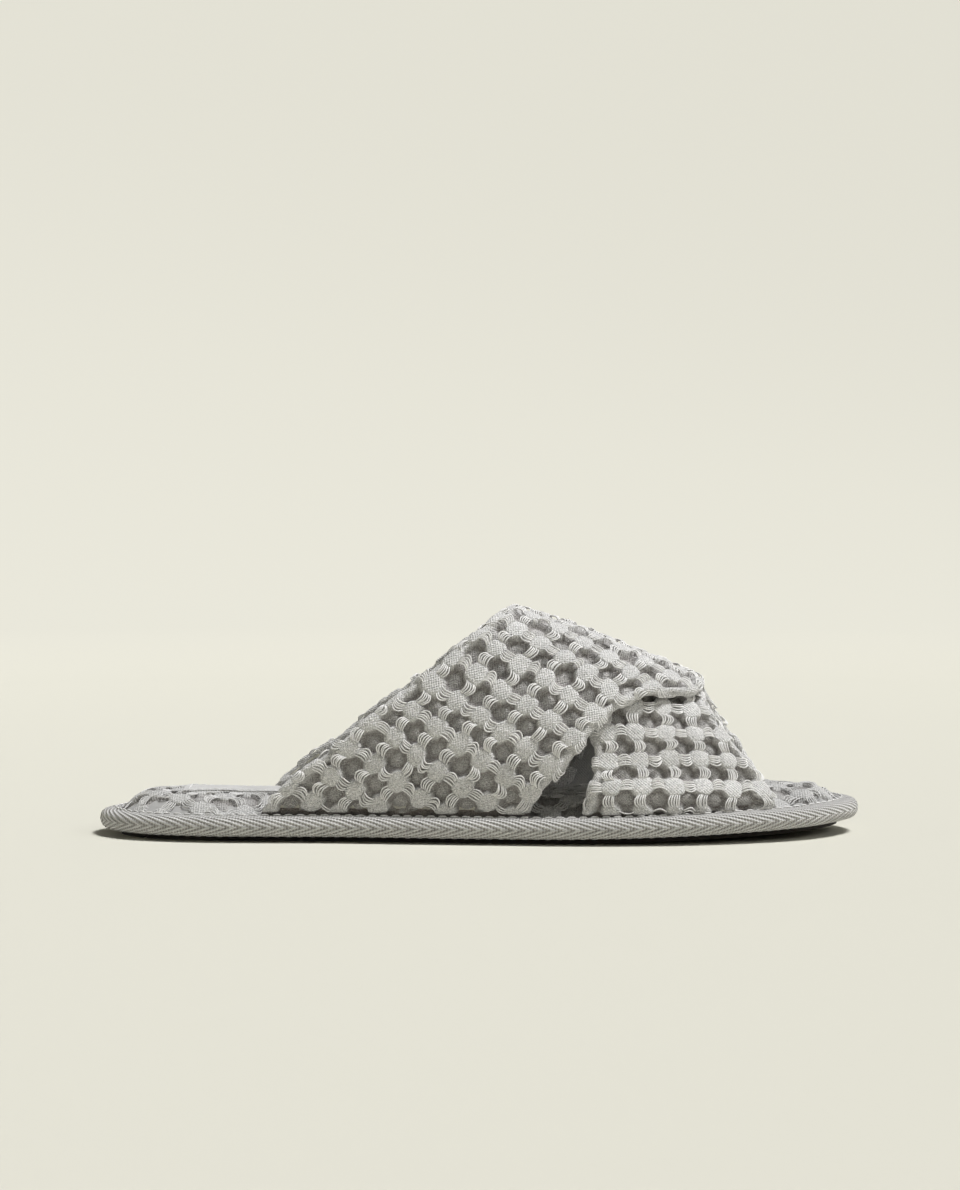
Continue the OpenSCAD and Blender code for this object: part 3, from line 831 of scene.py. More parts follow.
class Footbed:
    """Padded footbed: a simulated cushion gives its swell, and the waffle weave lies on it."""

    RIM_INSET = 4.5
    SPACING = 0.62
    PAD_SPACING = 3.6
    BLOW_UP = 10.0
    FRAMES = 20
    RAY_START = 60.0
    STRETCH = 1.12
    RIM_RELIEF = 0.3
    RELIEF = 0.62
    LABEL_CALM = 0.8
    SWELL_RANGE = (-0.6, 1.8)
    SAG = 0.7
    DEPTH = 2.6
    MOST_MOVED = 2.6
    THREAD_RADIUS = 0.23

    @staticmethod
    def label_zone(x, y):
        """1 under the heel label, 0 away from it."""
        out = [np.abs(p - label_middle[k]) - label_half[k] for k, p in enumerate((x, y))]
        return 1 - ease((np.maximum(*out) + 1.0) / 3.0)

    def __init__(self):
        self.xs_inner, self.ys_inner = side_table(1, self.RIM_INSET)
        self.xs_outer, self.ys_outer = side_table(-1, self.RIM_INSET)
        ring = outline + outline_inward * self.RIM_INSET
        self.x_low, self.x_high = ring[:, 0].min(), ring[:, 0].max()
        self.tree = flat_tree(outline)
        self.simulate_pad()

    def grid(self, spacing):
        """Even grid of places over the sole, as rows along X and columns across."""
        rows = int((self.x_high - self.x_low) / spacing)
        cols = int(84.0 / spacing)
        p = np.linspace(-1, 1, rows)[:, None] * np.ones((1, cols))
        q = np.linspace(-1, 1, cols)[None, :] * np.ones((rows, 1))
        u = p * np.sqrt(1 - q * q / 2)
        v = q * np.sqrt(1 - p * p / 2)
        ratio = v / np.sqrt(np.maximum(1e-6, 1 - u * u))
        x = mix(self.x_low, self.x_high, (u + 1) / 2)
        y_in = np.interp(x, self.xs_inner, self.ys_inner)
        y_out = -np.interp(x, self.xs_outer, self.ys_outer)
        y = mix(y_out, y_in, (np.clip(ratio, -1, 1) + 1) / 2)
        return x, y

    def inset(self, x, y):
        found = [self.tree.find((a, b, 0.0))[2] for a, b in zip(x.ravel(), y.ravel())]
        return np.array(found).reshape(x.shape)

    def simulate_pad(self):
        """Blow up a cushion over the board, held at its rim and where the straps press."""
        x, y = self.grid(self.PAD_SPACING)
        depth = self.inset(x, y)
        rows, cols = x.shape
        low = board_top + lift(x)
        start = mix(cover_top(x, depth), board_top, 0.12)
        top = np.maximum(start, board_top + 0.6) + lift(x)
        points = np.concatenate([
            np.stack([x, y, low], -1).reshape(-1, 3), np.stack([x, y, top], -1).reshape(-1, 3)])
        count = rows * cols
        under = grid_faces(rows, cols)[:, ::-1]
        above = grid_faces(rows, cols, start=count)
        rim = rim_order(rows, cols)
        faces = list(under) + list(above) + list(wall_faces(rim, rim + count))
        pad = make_object("footbed_pad", points, faces)
        pinned = pad.vertex_groups.new(name="held")
        hold = np.maximum(1 - ease((depth - 8.5) / 5.0), pressed(x) * (1 - ease((depth - 11) / 5)))
        for k, w in enumerate(np.concatenate([np.ones(count), hold.ravel()])):
            pinned.add([k], float(w), "REPLACE")
        pad.scale = (self.BLOW_UP,) * 3
        bpy.context.view_layer.objects.active = pad
        bpy.context.view_layer.update()
        pad.data.transform(pad.matrix_world)
        pad.scale = (1, 1, 1)
        cloth = pad.modifiers.new("swell", "CLOTH")
        settings = cloth.settings
        settings.use_pressure = True
        settings.uniform_pressure_force = 3.5
        settings.vertex_group_mass = "held"
        settings.tension_stiffness = 12
        settings.compression_stiffness = 12
        settings.shear_stiffness = 6
        settings.bending_stiffness = 0.6
        settings.quality = 6
        settings.effector_weights.gravity = 0
        cloth.point_cache.frame_start = 1
        cloth.point_cache.frame_end = self.FRAMES
        scene = bpy.context.scene
        for f in range(1, self.FRAMES + 1):
            scene.frame_set(f)
        evaluated = pad.evaluated_get(bpy.context.evaluated_depsgraph_get())
        moved = np.zeros(len(pad.data.vertices) * 3)
        evaluated.data.vertices.foreach_get("co", moved)
        moved = moved.reshape(-1, 3) / self.BLOW_UP / MM
        pad.modifiers.remove(cloth)
        scene.frame_set(1)
        bpy.data.objects.remove(pad)
        moved = points + np.clip(moved - points, -self.MOST_MOVED, self.MOST_MOVED)
        self.top_grid = tuple(np.moveaxis(moved[count:].reshape(rows, cols, 3), -1, 0))

    def make(self):
        x, y = self.grid(self.SPACING)
        depth = self.inset(x, y)
        pad_points = np.stack(self.top_grid, -1)
        pad_faces = grid_faces(*pad_points.shape[:2])
        # The coarse pad is rounded off by two passes of subdivision
        mesh = bpy.data.meshes.new("pad_surface")
        mesh.from_pydata(pad_points.reshape(-1, 3).tolist(), [], pad_faces.tolist())
        helper = link_object("pad_surface", mesh)
        sub = helper.modifiers.new("round", "SUBSURF")
        sub.levels = 2
        depsgraph = bpy.context.evaluated_depsgraph_get()
        tree = BVHTree.FromObject(helper, depsgraph)
        design = cover_top(x, depth) + lift(x)
        down = Vector((0, 0, -1))
        heights = []
        for px, py, planned in zip(x.ravel(), y.ravel(), design.ravel()):
            hit = tree.ray_cast(Vector((px, py, self.RAY_START)), down)[0]
            heights.append(planned if hit is None else hit.z)
        z = np.array(heights).reshape(x.shape)
        bpy.data.objects.remove(helper)
        # The swell stays close to the cushion's design height
        z = design + np.clip(z - design, *self.SWELL_RANGE)
        loose = (1 - pressed(x)) * ease((depth - turn_in) / 6.0)
        z = z + self.SAG * loose * drift(x / 15 + 3, y / 12)
        base = np.stack([x, y, z], -1)
        tangents = [unit(np.gradient(base, axis=k)) for k in (0, 1)]
        normal = unit(np.cross(*tangents))
        normal *= np.sign(normal[..., 2:3])
        uv = np.stack([x / self.STRETCH + y, y - x / self.STRETCH], -1) * math.sqrt(0.5) + 3.0
        height, tone = relief(uv)
        calm = ease((depth - turn_in + 1.0) / 2.5)
        amount = mix(self.RIM_RELIEF, self.RELIEF, calm)
        amount = amount * (1 - self.LABEL_CALM * self.label_zone(x, y))
        top = base + normal * (height * amount)[..., None]
        stack = cover_top(x, depth) - board_top - gap
        floor = cover_top(x, depth) + lift(x) - np.minimum(2.0, 0.34 * stack) + 0.12
        top[..., 2] = np.maximum(top[..., 2], floor)
        self.fine = (uv, base, normal, amount)
        low = np.stack([x, y, np.maximum(board_top + lift(x) + 0.3, z - self.DEPTH)], -1)
        return self.close(top, low, uv, tone)

    def close(self, top, low, uv, tone):
        """The cloth from its top, its skirt and a flat floor."""
        rows, cols = top.shape[:2]
        rim = rim_order(rows, cols)
        floor = rows * cols + np.arange(len(rim))
        points = np.concatenate([top.reshape(-1, 3), low.reshape(-1, 3)[rim]])
        uvs = np.concatenate([uv.reshape(-1, 2), uv.reshape(-1, 2)[rim]])
        # The skirt and floor take tone 0, the darkest painted shade
        tones = np.concatenate([tone.ravel(), np.zeros(len(rim))])
        faces = list(grid_faces(rows, cols)) + list(wall_faces(rim, floor)[:, ::-1]) + [floor]
        return make_object("footbed_waffle_cloth", points, faces, uvs, tones)

    def make_threads(self, seed):
        """Floating threads of the footbed's cloth."""
        uv, base, normal, amount = self.fine
        flat = uv.reshape(-1, 2)
        tree = flat_tree(flat)
        base, normal, amount = base.reshape(-1, 3), normal.reshape(-1, 3), amount.ravel()
        lines, across = [], []
        for line in float_lines(flat, seed):
            k, far = nearest(tree, line)
            if far > 0.8 or amount[k].min() <= self.RIM_RELIEF:
                continue
            place = base[k] + normal[k] * ((0.5 * line[:, 2] - 0.2) * amount[k])[:, None]
            away = (line[:, :2] - flat[k]) * math.sqrt(0.5)
            place[:, 0] += (away[:, 0] - away[:, 1]) * self.STRETCH
            place[:, 1] += away[:, 0] + away[:, 1]
            lines.append(place)
            across.append(normal[k])
        points, faces = tubes(np.array(lines), np.array(across), self.THREAD_RADIUS)
        return make_object("footbed_float_threads", points, faces)


# ---- materials

def new_material(name):
    material = bpy.data.materials.new(name)
    material.use_nodes = True
    tree = material.node_tree
    for node in list(tree.nodes):
        tree.nodes.remove(node)
    out = tree.nodes.new("ShaderNodeOutputMaterial")
    shader = tree.nodes.new("ShaderNodeBsdfPrincipled")
    tree.links.new(shader.outputs[0], out.inputs[0])
    return material, tree, shader


def math_node(tree, operation, a, b=None, c=None):
    node = tree.nodes.new("ShaderNodeMath")
    node.operation = operation
    for socket, value in zip(node.inputs, (a, b, c)):
        if value is None:
            continue
        if isinstance(value, (int, float)):
            socket.default_value = value
        else:
            tree.links.new(value, socket)
    return node.outputs[0]


def cloth_axes(tree):
    """The cloth's own two axes, in millimetres."""
    uv = tree.nodes.new("ShaderNodeUVMap")
    uv.uv_map = "cloth"
    split = tree.nodes.new("ShaderNodeSeparateXYZ")
    tree.links.new(uv.outputs[0], split.inputs[0])
    return [math_node(tree, "MULTIPLY", split.outputs[k], MAP_UNIT) for k in (0, 1)]


def noise_node(tree, scale, detail=3.0):
    node = tree.nodes.new("ShaderNodeTexNoise")
    node.inputs["Scale"].default_value = scale
    node.inputs["Detail"].default_value = detail
    place = tree.nodes.new("ShaderNodeTexCoord")
    tree.links.new(place.outputs["Object"], node.inputs["Vector"])
    return node.outputs[0]


def ramp_node(tree, factor, dark, light, low=0.0, high=1.0):
    node = tree.nodes.new("ShaderNodeValToRGB")
    node.color_ramp.elements[0].position = low
    node.color_ramp.elements[0].color = (*dark, 1)
    node.color_ramp.elements[1].position = high
    node.color_ramp.elements[1].color = (*light, 1)
    tree.links.new(factor, node.inputs[0])
    return node.outputs[0]


def multiply_colour(tree, a, b):
    node = tree.nodes.new("ShaderNodeMix")
    node.data_type = "RGBA"
    node.blend_type = "MULTIPLY"
    node.inputs["Factor"].default_value = 1.0
    tree.links.new(a, node.inputs[6])
    tree.links.new(b, node.inputs[7])
    return node.outputs[2]


def bump_node(tree, height, distance, strength, normal=None):
    node = tree.nodes.new("ShaderNodeBump")
    node.inputs["Strength"].default_value = strength
    node.inputs["Distance"].default_value = distance * MM
    tree.links.new(height, node.inputs["Height"])
    if normal is not None:
        tree.links.new(normal, node.inputs["Normal"])
    return node.outputs[0]


def wave_node(tree, value, period):
    return math_node(tree, "SINE", math_node(tree, "MULTIPLY", value, 2 * math.pi / period))


def plain_weave(tree, yarn):
    """Height of a plain weave, from -1 to 1, with yarns of the given pitch."""
    waves = [wave_node(tree, axis, 2 * yarn) for axis in cloth_axes(tree)]
    return math_node(tree, "MULTIPLY", *waves)


def mottle(tree, scale, colour, low, high):
    """A colour that wavers between two shares of itself."""
    return ramp_node(tree, noise_node(tree, scale), scaled(colour, low), scaled(colour, high),
                     0.3, 0.7)


def add_fibres(tree, shader, scale, detail, depth, strength, weave=None):
    """Fine fibres over a weave, as the shader's normal."""
    fibres = bump_node(tree, noise_node(tree, scale, detail), depth, strength, weave)
    tree.links.new(fibres, shader.inputs["Normal"])


def cloth_finish(shader, roughness=0.95, sheen=0.25):
    shader.inputs["Roughness"].default_value = roughness
    shader.inputs["Sheen Weight"].default_value = sheen
    shader.inputs["Sheen Roughness"].default_value = 0.6
    shader.inputs["Specular IOR Level"].default_value = 0.15


CLOTH_GREY = np.array([0.78, 0.773, 0.762])
# Darkest colour of the painted shade on the waffle cloth
DARKEST_PAINTED_SHADE = (0.33, 0.30, 0.285)


def scaled(colour, factor):
    return tuple(float(c) for c in np.asarray(colour) * factor)


def waffle_material(name, tint):
    material, tree, shader = new_material(name)
    cloth_finish(shader)
    mottled = mottle(tree, 90.0, CLOTH_GREY, 0.93 * tint, 1.05 * tint)
    # The tone attribute paints shade into the pits, the beds under the floats, the ledge over the
    # tape and the hidden skins
    tone = tree.nodes.new("ShaderNodeAttribute")
    tone.attribute_name = "tone"
    pits = ramp_node(tree, tone.outputs["Fac"], DARKEST_PAINTED_SHADE, (1, 1, 1), 0.0, 0.88)
    grain = ramp_node(tree, noise_node(tree, 2100.0, 4.0), (0.6, 0.6, 0.6), (1.08, 1.08, 1.08),
                      0.32, 0.66)
    colour = multiply_colour(tree, multiply_colour(tree, mottled, pits), grain)
    tree.links.new(colour, shader.inputs["Base Color"])
    weave = bump_node(tree, plain_weave(tree, 0.55), 0.15, 0.9)
    add_fibres(tree, shader, 1500.0, 6.0, 0.45, 0.9, weave)
    return material


def thread_material(name, colour):
    material, tree, shader = new_material(name)
    cloth_finish(shader, 0.9, 0.3)
    mottled = mottle(tree, 160.0, colour, 0.92, 1.08)
    tree.links.new(mottled, shader.inputs["Base Color"])
    add_fibres(tree, shader, 4200.0, 3.0, 0.08, 0.6)
    return material


def plain_cloth_material(name, colour, yarn):
    material, tree, shader = new_material(name)
    cloth_finish(shader)
    mottled = mottle(tree, 120.0, colour, 0.93, 1.05)
    tree.links.new(mottled, shader.inputs["Base Color"])
    weave = bump_node(tree, plain_weave(tree, yarn), 0.09, 0.9)
    add_fibres(tree, shader, 2600.0, 4.0, 0.08, 0.4, weave)
    return material


RIB_PITCH = 4.2
RIB_SLANT = 3.0
# Colour of the painted shade in the grooves between the tape's ribs
RIB_GROOVE_PAINTED_SHADE = (0.42, 0.40, 0.38)
TAPE_YARN = 1.05
YARN_SHARE = 0.45


def herringbone_material(name, colour, middle):
    """Twill tape whose slanting ribs meet in long chevrons on the line v = middle."""
    material, tree, shader = new_material(name)
    cloth_finish(shader, 0.88, 0.2)
    u, v = cloth_axes(tree)
    off = math_node(tree, "ABSOLUTE", math_node(tree, "SUBTRACT", v, middle))
    run = math_node(tree, "SUBTRACT", u, math_node(tree, "MULTIPLY", off, RIB_SLANT))
    rib = wave_node(tree, run, RIB_PITCH)
    yarn = wave_node(tree, u, TAPE_YARN)
    height = math_node(tree, "ADD", rib, math_node(tree, "MULTIPLY", yarn, YARN_SHARE))
    fraction = math_node(tree, "MULTIPLY_ADD", height, 0.36, 0.5)
    # Painted shade darkens the grooves between the ribs, on top of their bump
    ribs = ramp_node(tree, fraction, RIB_GROOVE_PAINTED_SHADE, (1, 1, 1), 0.05, 0.66)
    mottled = mottle(tree, 150.0, colour, 0.94, 1.05)
    tree.links.new(multiply_colour(tree, mottled, ribs), shader.inputs["Base Color"])
    weave = bump_node(tree, height, 0.22, 1.0)
    add_fibres(tree, shader, 2600.0, 4.0, 0.07, 0.4, weave)
    return material


def solid_material(name, colour, roughness, grain, grain_depth):
    material, tree, shader = new_material(name)
    shader.inputs["Roughness"].default_value = roughness
    shader.inputs["Specular IOR Level"].default_value = 0.3
    tree.links.new(mottle(tree, 80.0, colour, 0.85, 1.1), shader.inputs["Base Color"])
    add_fibres(tree, shader, grain, 4.0, grain_depth, 0.6)
    return material


# ---- the edge binding

edge_mid = outsole_thick + 0.5 * edge_height
edge_top = outsole_thick + edge_height


def tape_profile():
    """Outer and inner section of the folded tape: [inset, height] from below to the top."""
    high_lip = float(mouth_height(turn_in)) + tape_thick
    outer = [
        (turn_in, outsole_thick), (4.5, outsole_thick), (2.6, outsole_thick + 0.02),
        (1.3, outsole_thick + 0.5), (0.42, outsole_thick + 1.5), (0.0, edge_mid),
        (0.35, edge_top - 1.7), (1.2, edge_top - 0.6), (2.6, edge_top - 0.02),
        (4.6, edge_top + 0.12), (6.4, high_lip), (turn_in + 0.25, high_lip - 0.35),
    ]
    inner = [
        (turn_in + 0.2, high_lip - 0.9), (5, float(mouth_height(5))),
        (layer_inset, mouth_top + 0.1), (2, mouth_top - 0.4), (1.35, edge_mid + 1.2),
        (tape_thick, edge_mid), (1.35, edge_mid - 1.2), (2, outsole_thick + tape_thick + 0.4),
        (layer_inset, outsole_thick + tape_thick), (turn_in, outsole_thick + tape_thick),
    ]
    return outer, inner


def smooth_section(points, steps):
    p = np.array(points, float)
    padded = np.concatenate([p[:1], p, p[-1:]])
    t = (np.arange(steps) / steps)[None, :, None]
    parts = [padded[k: len(padded) - 3 + k][:, None, :] for k in range(4)]
    fine = curve(*parts, t).reshape(-1, 2)
    return np.concatenate([fine, p[-1:]])


def resampled_ring(spacing):
    """Outline points, inward directions and run lengths, evenly spaced."""
    closed = np.concatenate([outline, outline[:1]])
    run = np.concatenate([[0], np.cumsum(np.linalg.norm(np.diff(closed, axis=0), axis=1))])
    count = int(run[-1] / spacing)
    s = np.arange(count) * run[-1] / count
    ring = np.stack([np.interp(s, run, closed[:, k]) for k in (0, 1)], 1)
    tangent = ring_tangents(ring)
    return ring, np.stack([tangent[:, 1], -tangent[:, 0]], 1), s, run[-1]


tape_pucker = Noise(31)
TAPE_SPACING = 0.8
PUCKER = 0.10
FINE_PUCKER = 0.05


def make_binding():
    outer, inner = tape_profile()
    fine = smooth_section(outer, 3)
    section = np.concatenate([fine, np.array(inner, float)])
    v = np.concatenate([[0], np.cumsum(np.linalg.norm(np.diff(section, axis=0), axis=1))])
    ring, inward, s, total = resampled_ring(TAPE_SPACING)
    rows = len(ring)
    wave = PUCKER * tape_pucker(s / 9.0, s * 0.0)[:, None]
    fine_wave = FINE_PUCKER * tape_pucker(s / 2.6, s * 0.0 + 9)[:, None]
    across, up = section[None, :, 0], section[None, :, 1]
    inset = np.maximum(across + wave * (across > 0.2), 0.0)
    xy = ring[:, None, :] + inward[:, None, :] * inset[..., None]
    high = up + (wave + fine_wave) * (up > edge_mid)
    z = high + lift(xy[..., 0])
    points = np.concatenate([xy, z[..., None]], -1)
    # The outer side runs towards the heel, so its run is counted from the toe
    run = np.where(ring[:, 1] < 0, total - s, s)
    uv = np.stack([np.repeat(-run[:, None], len(section), 1), np.repeat(v[None], rows, 0)], -1)
    faces = grid_faces(rows, len(section), close_rows=True, close_cols=True)
    binding = make_object("edge_tape", points, faces, uv)
    middle = float(np.interp(edge_mid, section[5:20, 1], v[5:20]))
    return binding, middle


# ---- stitches

STITCH_SPACING = 4.0
STITCH_STEPS = 7
STITCH_RISE = 0.25
STITCH_SUNK = 0.6


def stitches(name, centres, directions, normals, length, radius):
    """Short stitches that dive into the cloth at both ends."""
    t = np.linspace(-1, 1, STITCH_STEPS)
    along = directions[:, None, :] * (length / 2 * t)[None, :, None]
    rise = STITCH_RISE * (1 - t ** 4) - STITCH_RISE * STITCH_SUNK
    lines = centres[:, None, :] + along + normals[:, None, :] * rise[None, :, None]
    across = np.repeat(normals[:, None, :], STITCH_STEPS, 1)
    points, faces = tubes(lines, across, radius, sides=8, taper=0.6)
    return make_object(name, points, faces)


def binding_stitches(name, top):
    ring, inward = resampled_ring(STITCH_SPACING)[:2]
    inset = turn_in - 1.4
    xy = ring + inward * inset
    tangent = ring_tangents(xy)
    high = float(mouth_height(inset)) + tape_thick + 0.16
    z = (high if top else outsole_thick - 0.12) + lift(xy[:, 0])
    normals = np.array([0.0, 0.0, 1.0 if top else -1.0])
    centres = np.concatenate([xy, z[:, None]], 1)
    slope = lift(xy[:, 0] + 0.5) - lift(xy[:, 0] - 0.5)
    directions = unit(np.concatenate([tangent, (tangent[:, 0] * slope)[:, None]], 1))
    return stitches(name, centres, directions, np.repeat(normals[None], len(xy), 0), 2.7, 0.24)


def strap_seam_stitches(strap):
    centres, directions, normals = [], [], []
    for which in (0, 1):
        angles = strap.even_angles(3.6)
        angles = angles[(angles > 9) & (angles < 171)]
        inward = 1.0 if which == 0 else -1.0
        x = strap.edges(angles)[which] + inward * (hem_return - 1.2) * stretch_x
        n = strap.normal(x, angles)
        p = strap.surface(x, angles) - n * (strap_thick + 0.12)
        centres.append(p)
        directions.append(unit(np.gradient(p, axis=0)))
        normals.append(-n)
    return stitches(strap.name + "_hem_stitches", np.concatenate(centres),
                    np.concatenate(directions), np.concatenate(normals), 2.5, 0.2)


# ---- lining and foam

def strap_layer(strap, suffix, spacing, ends, margin, cols, depths, mapped=False):
    """A layer inside a strap, between two shares of its depth, clear of the strap's edges."""
    angles = strap.even_angles(spacing)
    angles = angles[(angles > ends) & (angles < 180 - ends)]
    rear, front = strap.edges(angles)
    t = np.linspace(0, 1, cols)
    x = (rear + margin)[:, None] + (front - rear - 2 * margin)[:, None] * t[None, :]
    a = np.repeat(angles[:, None], cols, 1)
    n = strap.normal(x, a)
    thick = strap.padding(angles)[:, None, None]
    p = strap.surface(x, a)
    low, high = [p - n * thick * depth for depth in depths]
    points = np.concatenate([low, high[:, ::-1]], 1)
    rows, count = points.shape[:2]
    uv = None
    if mapped:
        run = np.repeat(np.arange(rows)[:, None] * spacing, count, 1)
        uv = np.stack([np.concatenate([x, x[:, ::-1]], 1), run], -1)
    return make_object(strap.name + suffix, points, sleeve_faces(rows, count, -1), uv)


def make_lining(strap):
    """Plain cloth between the turned-in edges, on the side next to the foot."""
    return strap_layer(strap, "_inner_cloth", 2.4, 0.0, hem_return - 1.0, 32, (0.98, 0.87), True)


def make_strap_foam(strap):
    """The strap's thin foam, between the waffle cloth's pits and the turned-in cloth."""
    return strap_layer(strap, "_padding", 4.0, 0.8, 3.0, 20, (0.84, 0.76))


# ---- the label

def make_label(footbed_top):
    """A plain woven patch that follows the footbed, with rounded, slightly lifted edges."""
    half_x, half_y = label_half[:2]
    nx, ny = 70, 34
    a = np.linspace(-1, 1, nx)[:, None] * np.ones((1, ny))
    b = np.linspace(-1, 1, ny)[None, :] * np.ones((nx, 1))
    corner = 1 - 0.012 * np.abs(a) ** 14 * np.abs(b) ** 14
    x = label_middle[0] + a * corner * half_x
    y = label_middle[1] + b * corner * half_y
    z = footbed_top(x, y)
    edge = np.minimum((1 - np.abs(a)) * half_x, (1 - np.abs(b)) * half_y)
    puff = 0.5 + 0.2 * ease(edge) - 0.14 * np.exp(-((edge - 1.8) / 0.5) ** 2)
    top = np.stack([x, y, z + puff], -1)
    low = np.stack([x, y, z - 0.3], -1)
    count = nx * ny
    rim = rim_order(nx, ny)
    wall = wall_faces(rim, rim + count)[:, ::-1]
    faces = list(grid_faces(nx, ny)) + list(grid_faces(nx, ny, start=count)[:, ::-1]) + list(wall)
    uv = np.stack([x, y], -1).reshape(-1, 2)
    points = np.concatenate([top.reshape(-1, 3), low.reshape(-1, 3)])
    label = make_object("heel_patch", points, faces, np.concatenate([uv, uv]))

    margin = 1.8
    centres, directions = [], []
    hx, hy = half_x - margin, half_y - margin
    for sign in (-1, 1):
        for t in np.linspace(-1, 1, 15):
            centres.append((t * (hx - 1.2), sign * hy))
            directions.append((1, 0, 0))
        for t in np.linspace(-1, 1, 6):
            centres.append((sign * hx, t * (hy - 1.2)))
            directions.append((0, 1, 0))
    c = label_middle[:2] + np.array(centres)
    z = footbed_top(c[:, 0], c[:, 1]) + 0.62
    sewn = stitches("heel_patch_stitches", np.concatenate([c, z[:, None]], 1),
                    np.array(directions, float), np.repeat([[0.0, 0.0, 1.0]], len(c), 0), 2.3, 0.2)
    return label, sewn


# ---- the pieces

def finish_piece(obj, material, slot, *nodes):
    obj.data.materials.clear()
    obj.data.materials.append(material)
    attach(obj, BODY)
    if nodes:
        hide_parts(*nodes)
    return obj


waffle = waffle_material("waffle_cloth", 1.0)
# The footbed's cloth and its threads are a fifth darker than the straps'
darker_waffle = waffle_material("darker_waffle_cloth", 0.8)
darker_thread = thread_material("darker_thread", CLOTH_GREY * 0.82)
float_thread = thread_material("float_thread", CLOTH_GREY * 1.02)
sewing_thread = thread_material("sewing_thread", CLOTH_GREY * 0.95)
lining_cloth = plain_cloth_material("lining_cloth", CLOTH_GREY * 0.5, 0.5)
patch_cloth = plain_cloth_material("patch_cloth", CLOTH_GREY * 0.76, 0.45)

foam = solid_material("foam", (0.72, 0.70, 0.62), roughness=0.95, grain=900.0, grain_depth=0.2)
flat_maps = (
    FlatMap(over_strap, grain_turn=-15.0, shift=(0.0, 0.0), slack=1.16),
    FlatMap(under_strap, grain_turn=18.0, shift=(4.6, 3.3), slack=1.0),
)
for number, strap in enumerate((over_strap, under_strap)):
    cloth = StrapCloth(strap, flat_maps[number])
    outer_cloth = finish_piece(cloth.make(), waffle, "waffle_cloth", strap.name + "_waffle")
    finish_piece(cloth.make_threads(50 + number), float_thread, "waffle_cloth")
    finish_piece(make_lining(strap), lining_cloth, "lining_cloth", strap.name + "_lining")
    finish_piece(make_strap_foam(strap), foam, "foam", strap.name + "_foam")
    finish_piece(strap_seam_stitches(strap), sewing_thread, "thread",
                 strap.name + "_seam_stitches")

footbed = Footbed()
footbed_cloth = finish_piece(footbed.make(), darker_waffle, "waffle_cloth", "footbed_cover")
finish_piece(footbed.make_threads(61), darker_thread, "waffle_cloth")

binding, tape_middle = make_binding()
tape_cloth = herringbone_material("herringbone_tape", CLOTH_GREY * 0.8, tape_middle)
finish_piece(binding, tape_cloth, "binding_tape", "edge_binding")
finish_piece(binding_stitches("tape_top_stitches", True), sewing_thread, "thread",
             "binding_top_stitches")
finish_piece(binding_stitches("tape_low_stitches", False), sewing_thread, "thread",
             "binding_bottom_stitches")


def footbed_top(x, y):
    """Height of the footbed's cloth at places in the plane."""
    points = footbed.fine[1].reshape(-1, 3)
    tree = flat_tree(points, step=4)
    flat = zip(np.ravel(x), np.ravel(y))
    return np.array([points[tree.find((a, b, 0.0))[1], 2] for a, b in flat]).reshape(np.shape(x))


patch, patch_stitches = make_label(footbed_top)
finish_piece(patch, patch_cloth, "label_cloth", "heel_label")
finish_piece(patch_stitches, sewing_thread, "thread", "heel_label_stitches")

rubber = solid_material("outsole_rubber", (0.016, 0.013, 0.010), roughness=0.75, grain=1200.0,
                        grain_depth=0.15)
board = solid_material("board", (0.62, 0.60, 0.55), roughness=0.8, grain=600.0, grain_depth=0.1)
CAD_FINISHES = {
    "outsole": rubber,
    "midsole_board": board,
    "footbed_foam": foam,
    "footbed_backing": lining_cloth,
    "over_strap_end_stitches": sewing_thread,
    "under_strap_end_stitches": sewing_thread,
}
for name, material in CAD_FINISHES.items():
    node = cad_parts[name]
    node.data.materials.clear()
    node.data.materials.append(material)


# ---- floor, light and the camera

PAPER_TONE = (0.785, 0.77, 0.68)
PAPER_LIT = 0.81
PAPER_HELD = 0.08
PAPER_GLOW = 0.93
# Slope and start of the glow, with the distance from the middle and with the depth behind it
GLOW_AWAY = (1.7, -1.4)
GLOW_BEHIND = (1.6, 0.1)


def clamp_node(tree, value):
    return math_node(tree, "MINIMUM", math_node(tree, "MAXIMUM", value, 0.0), 1.0)


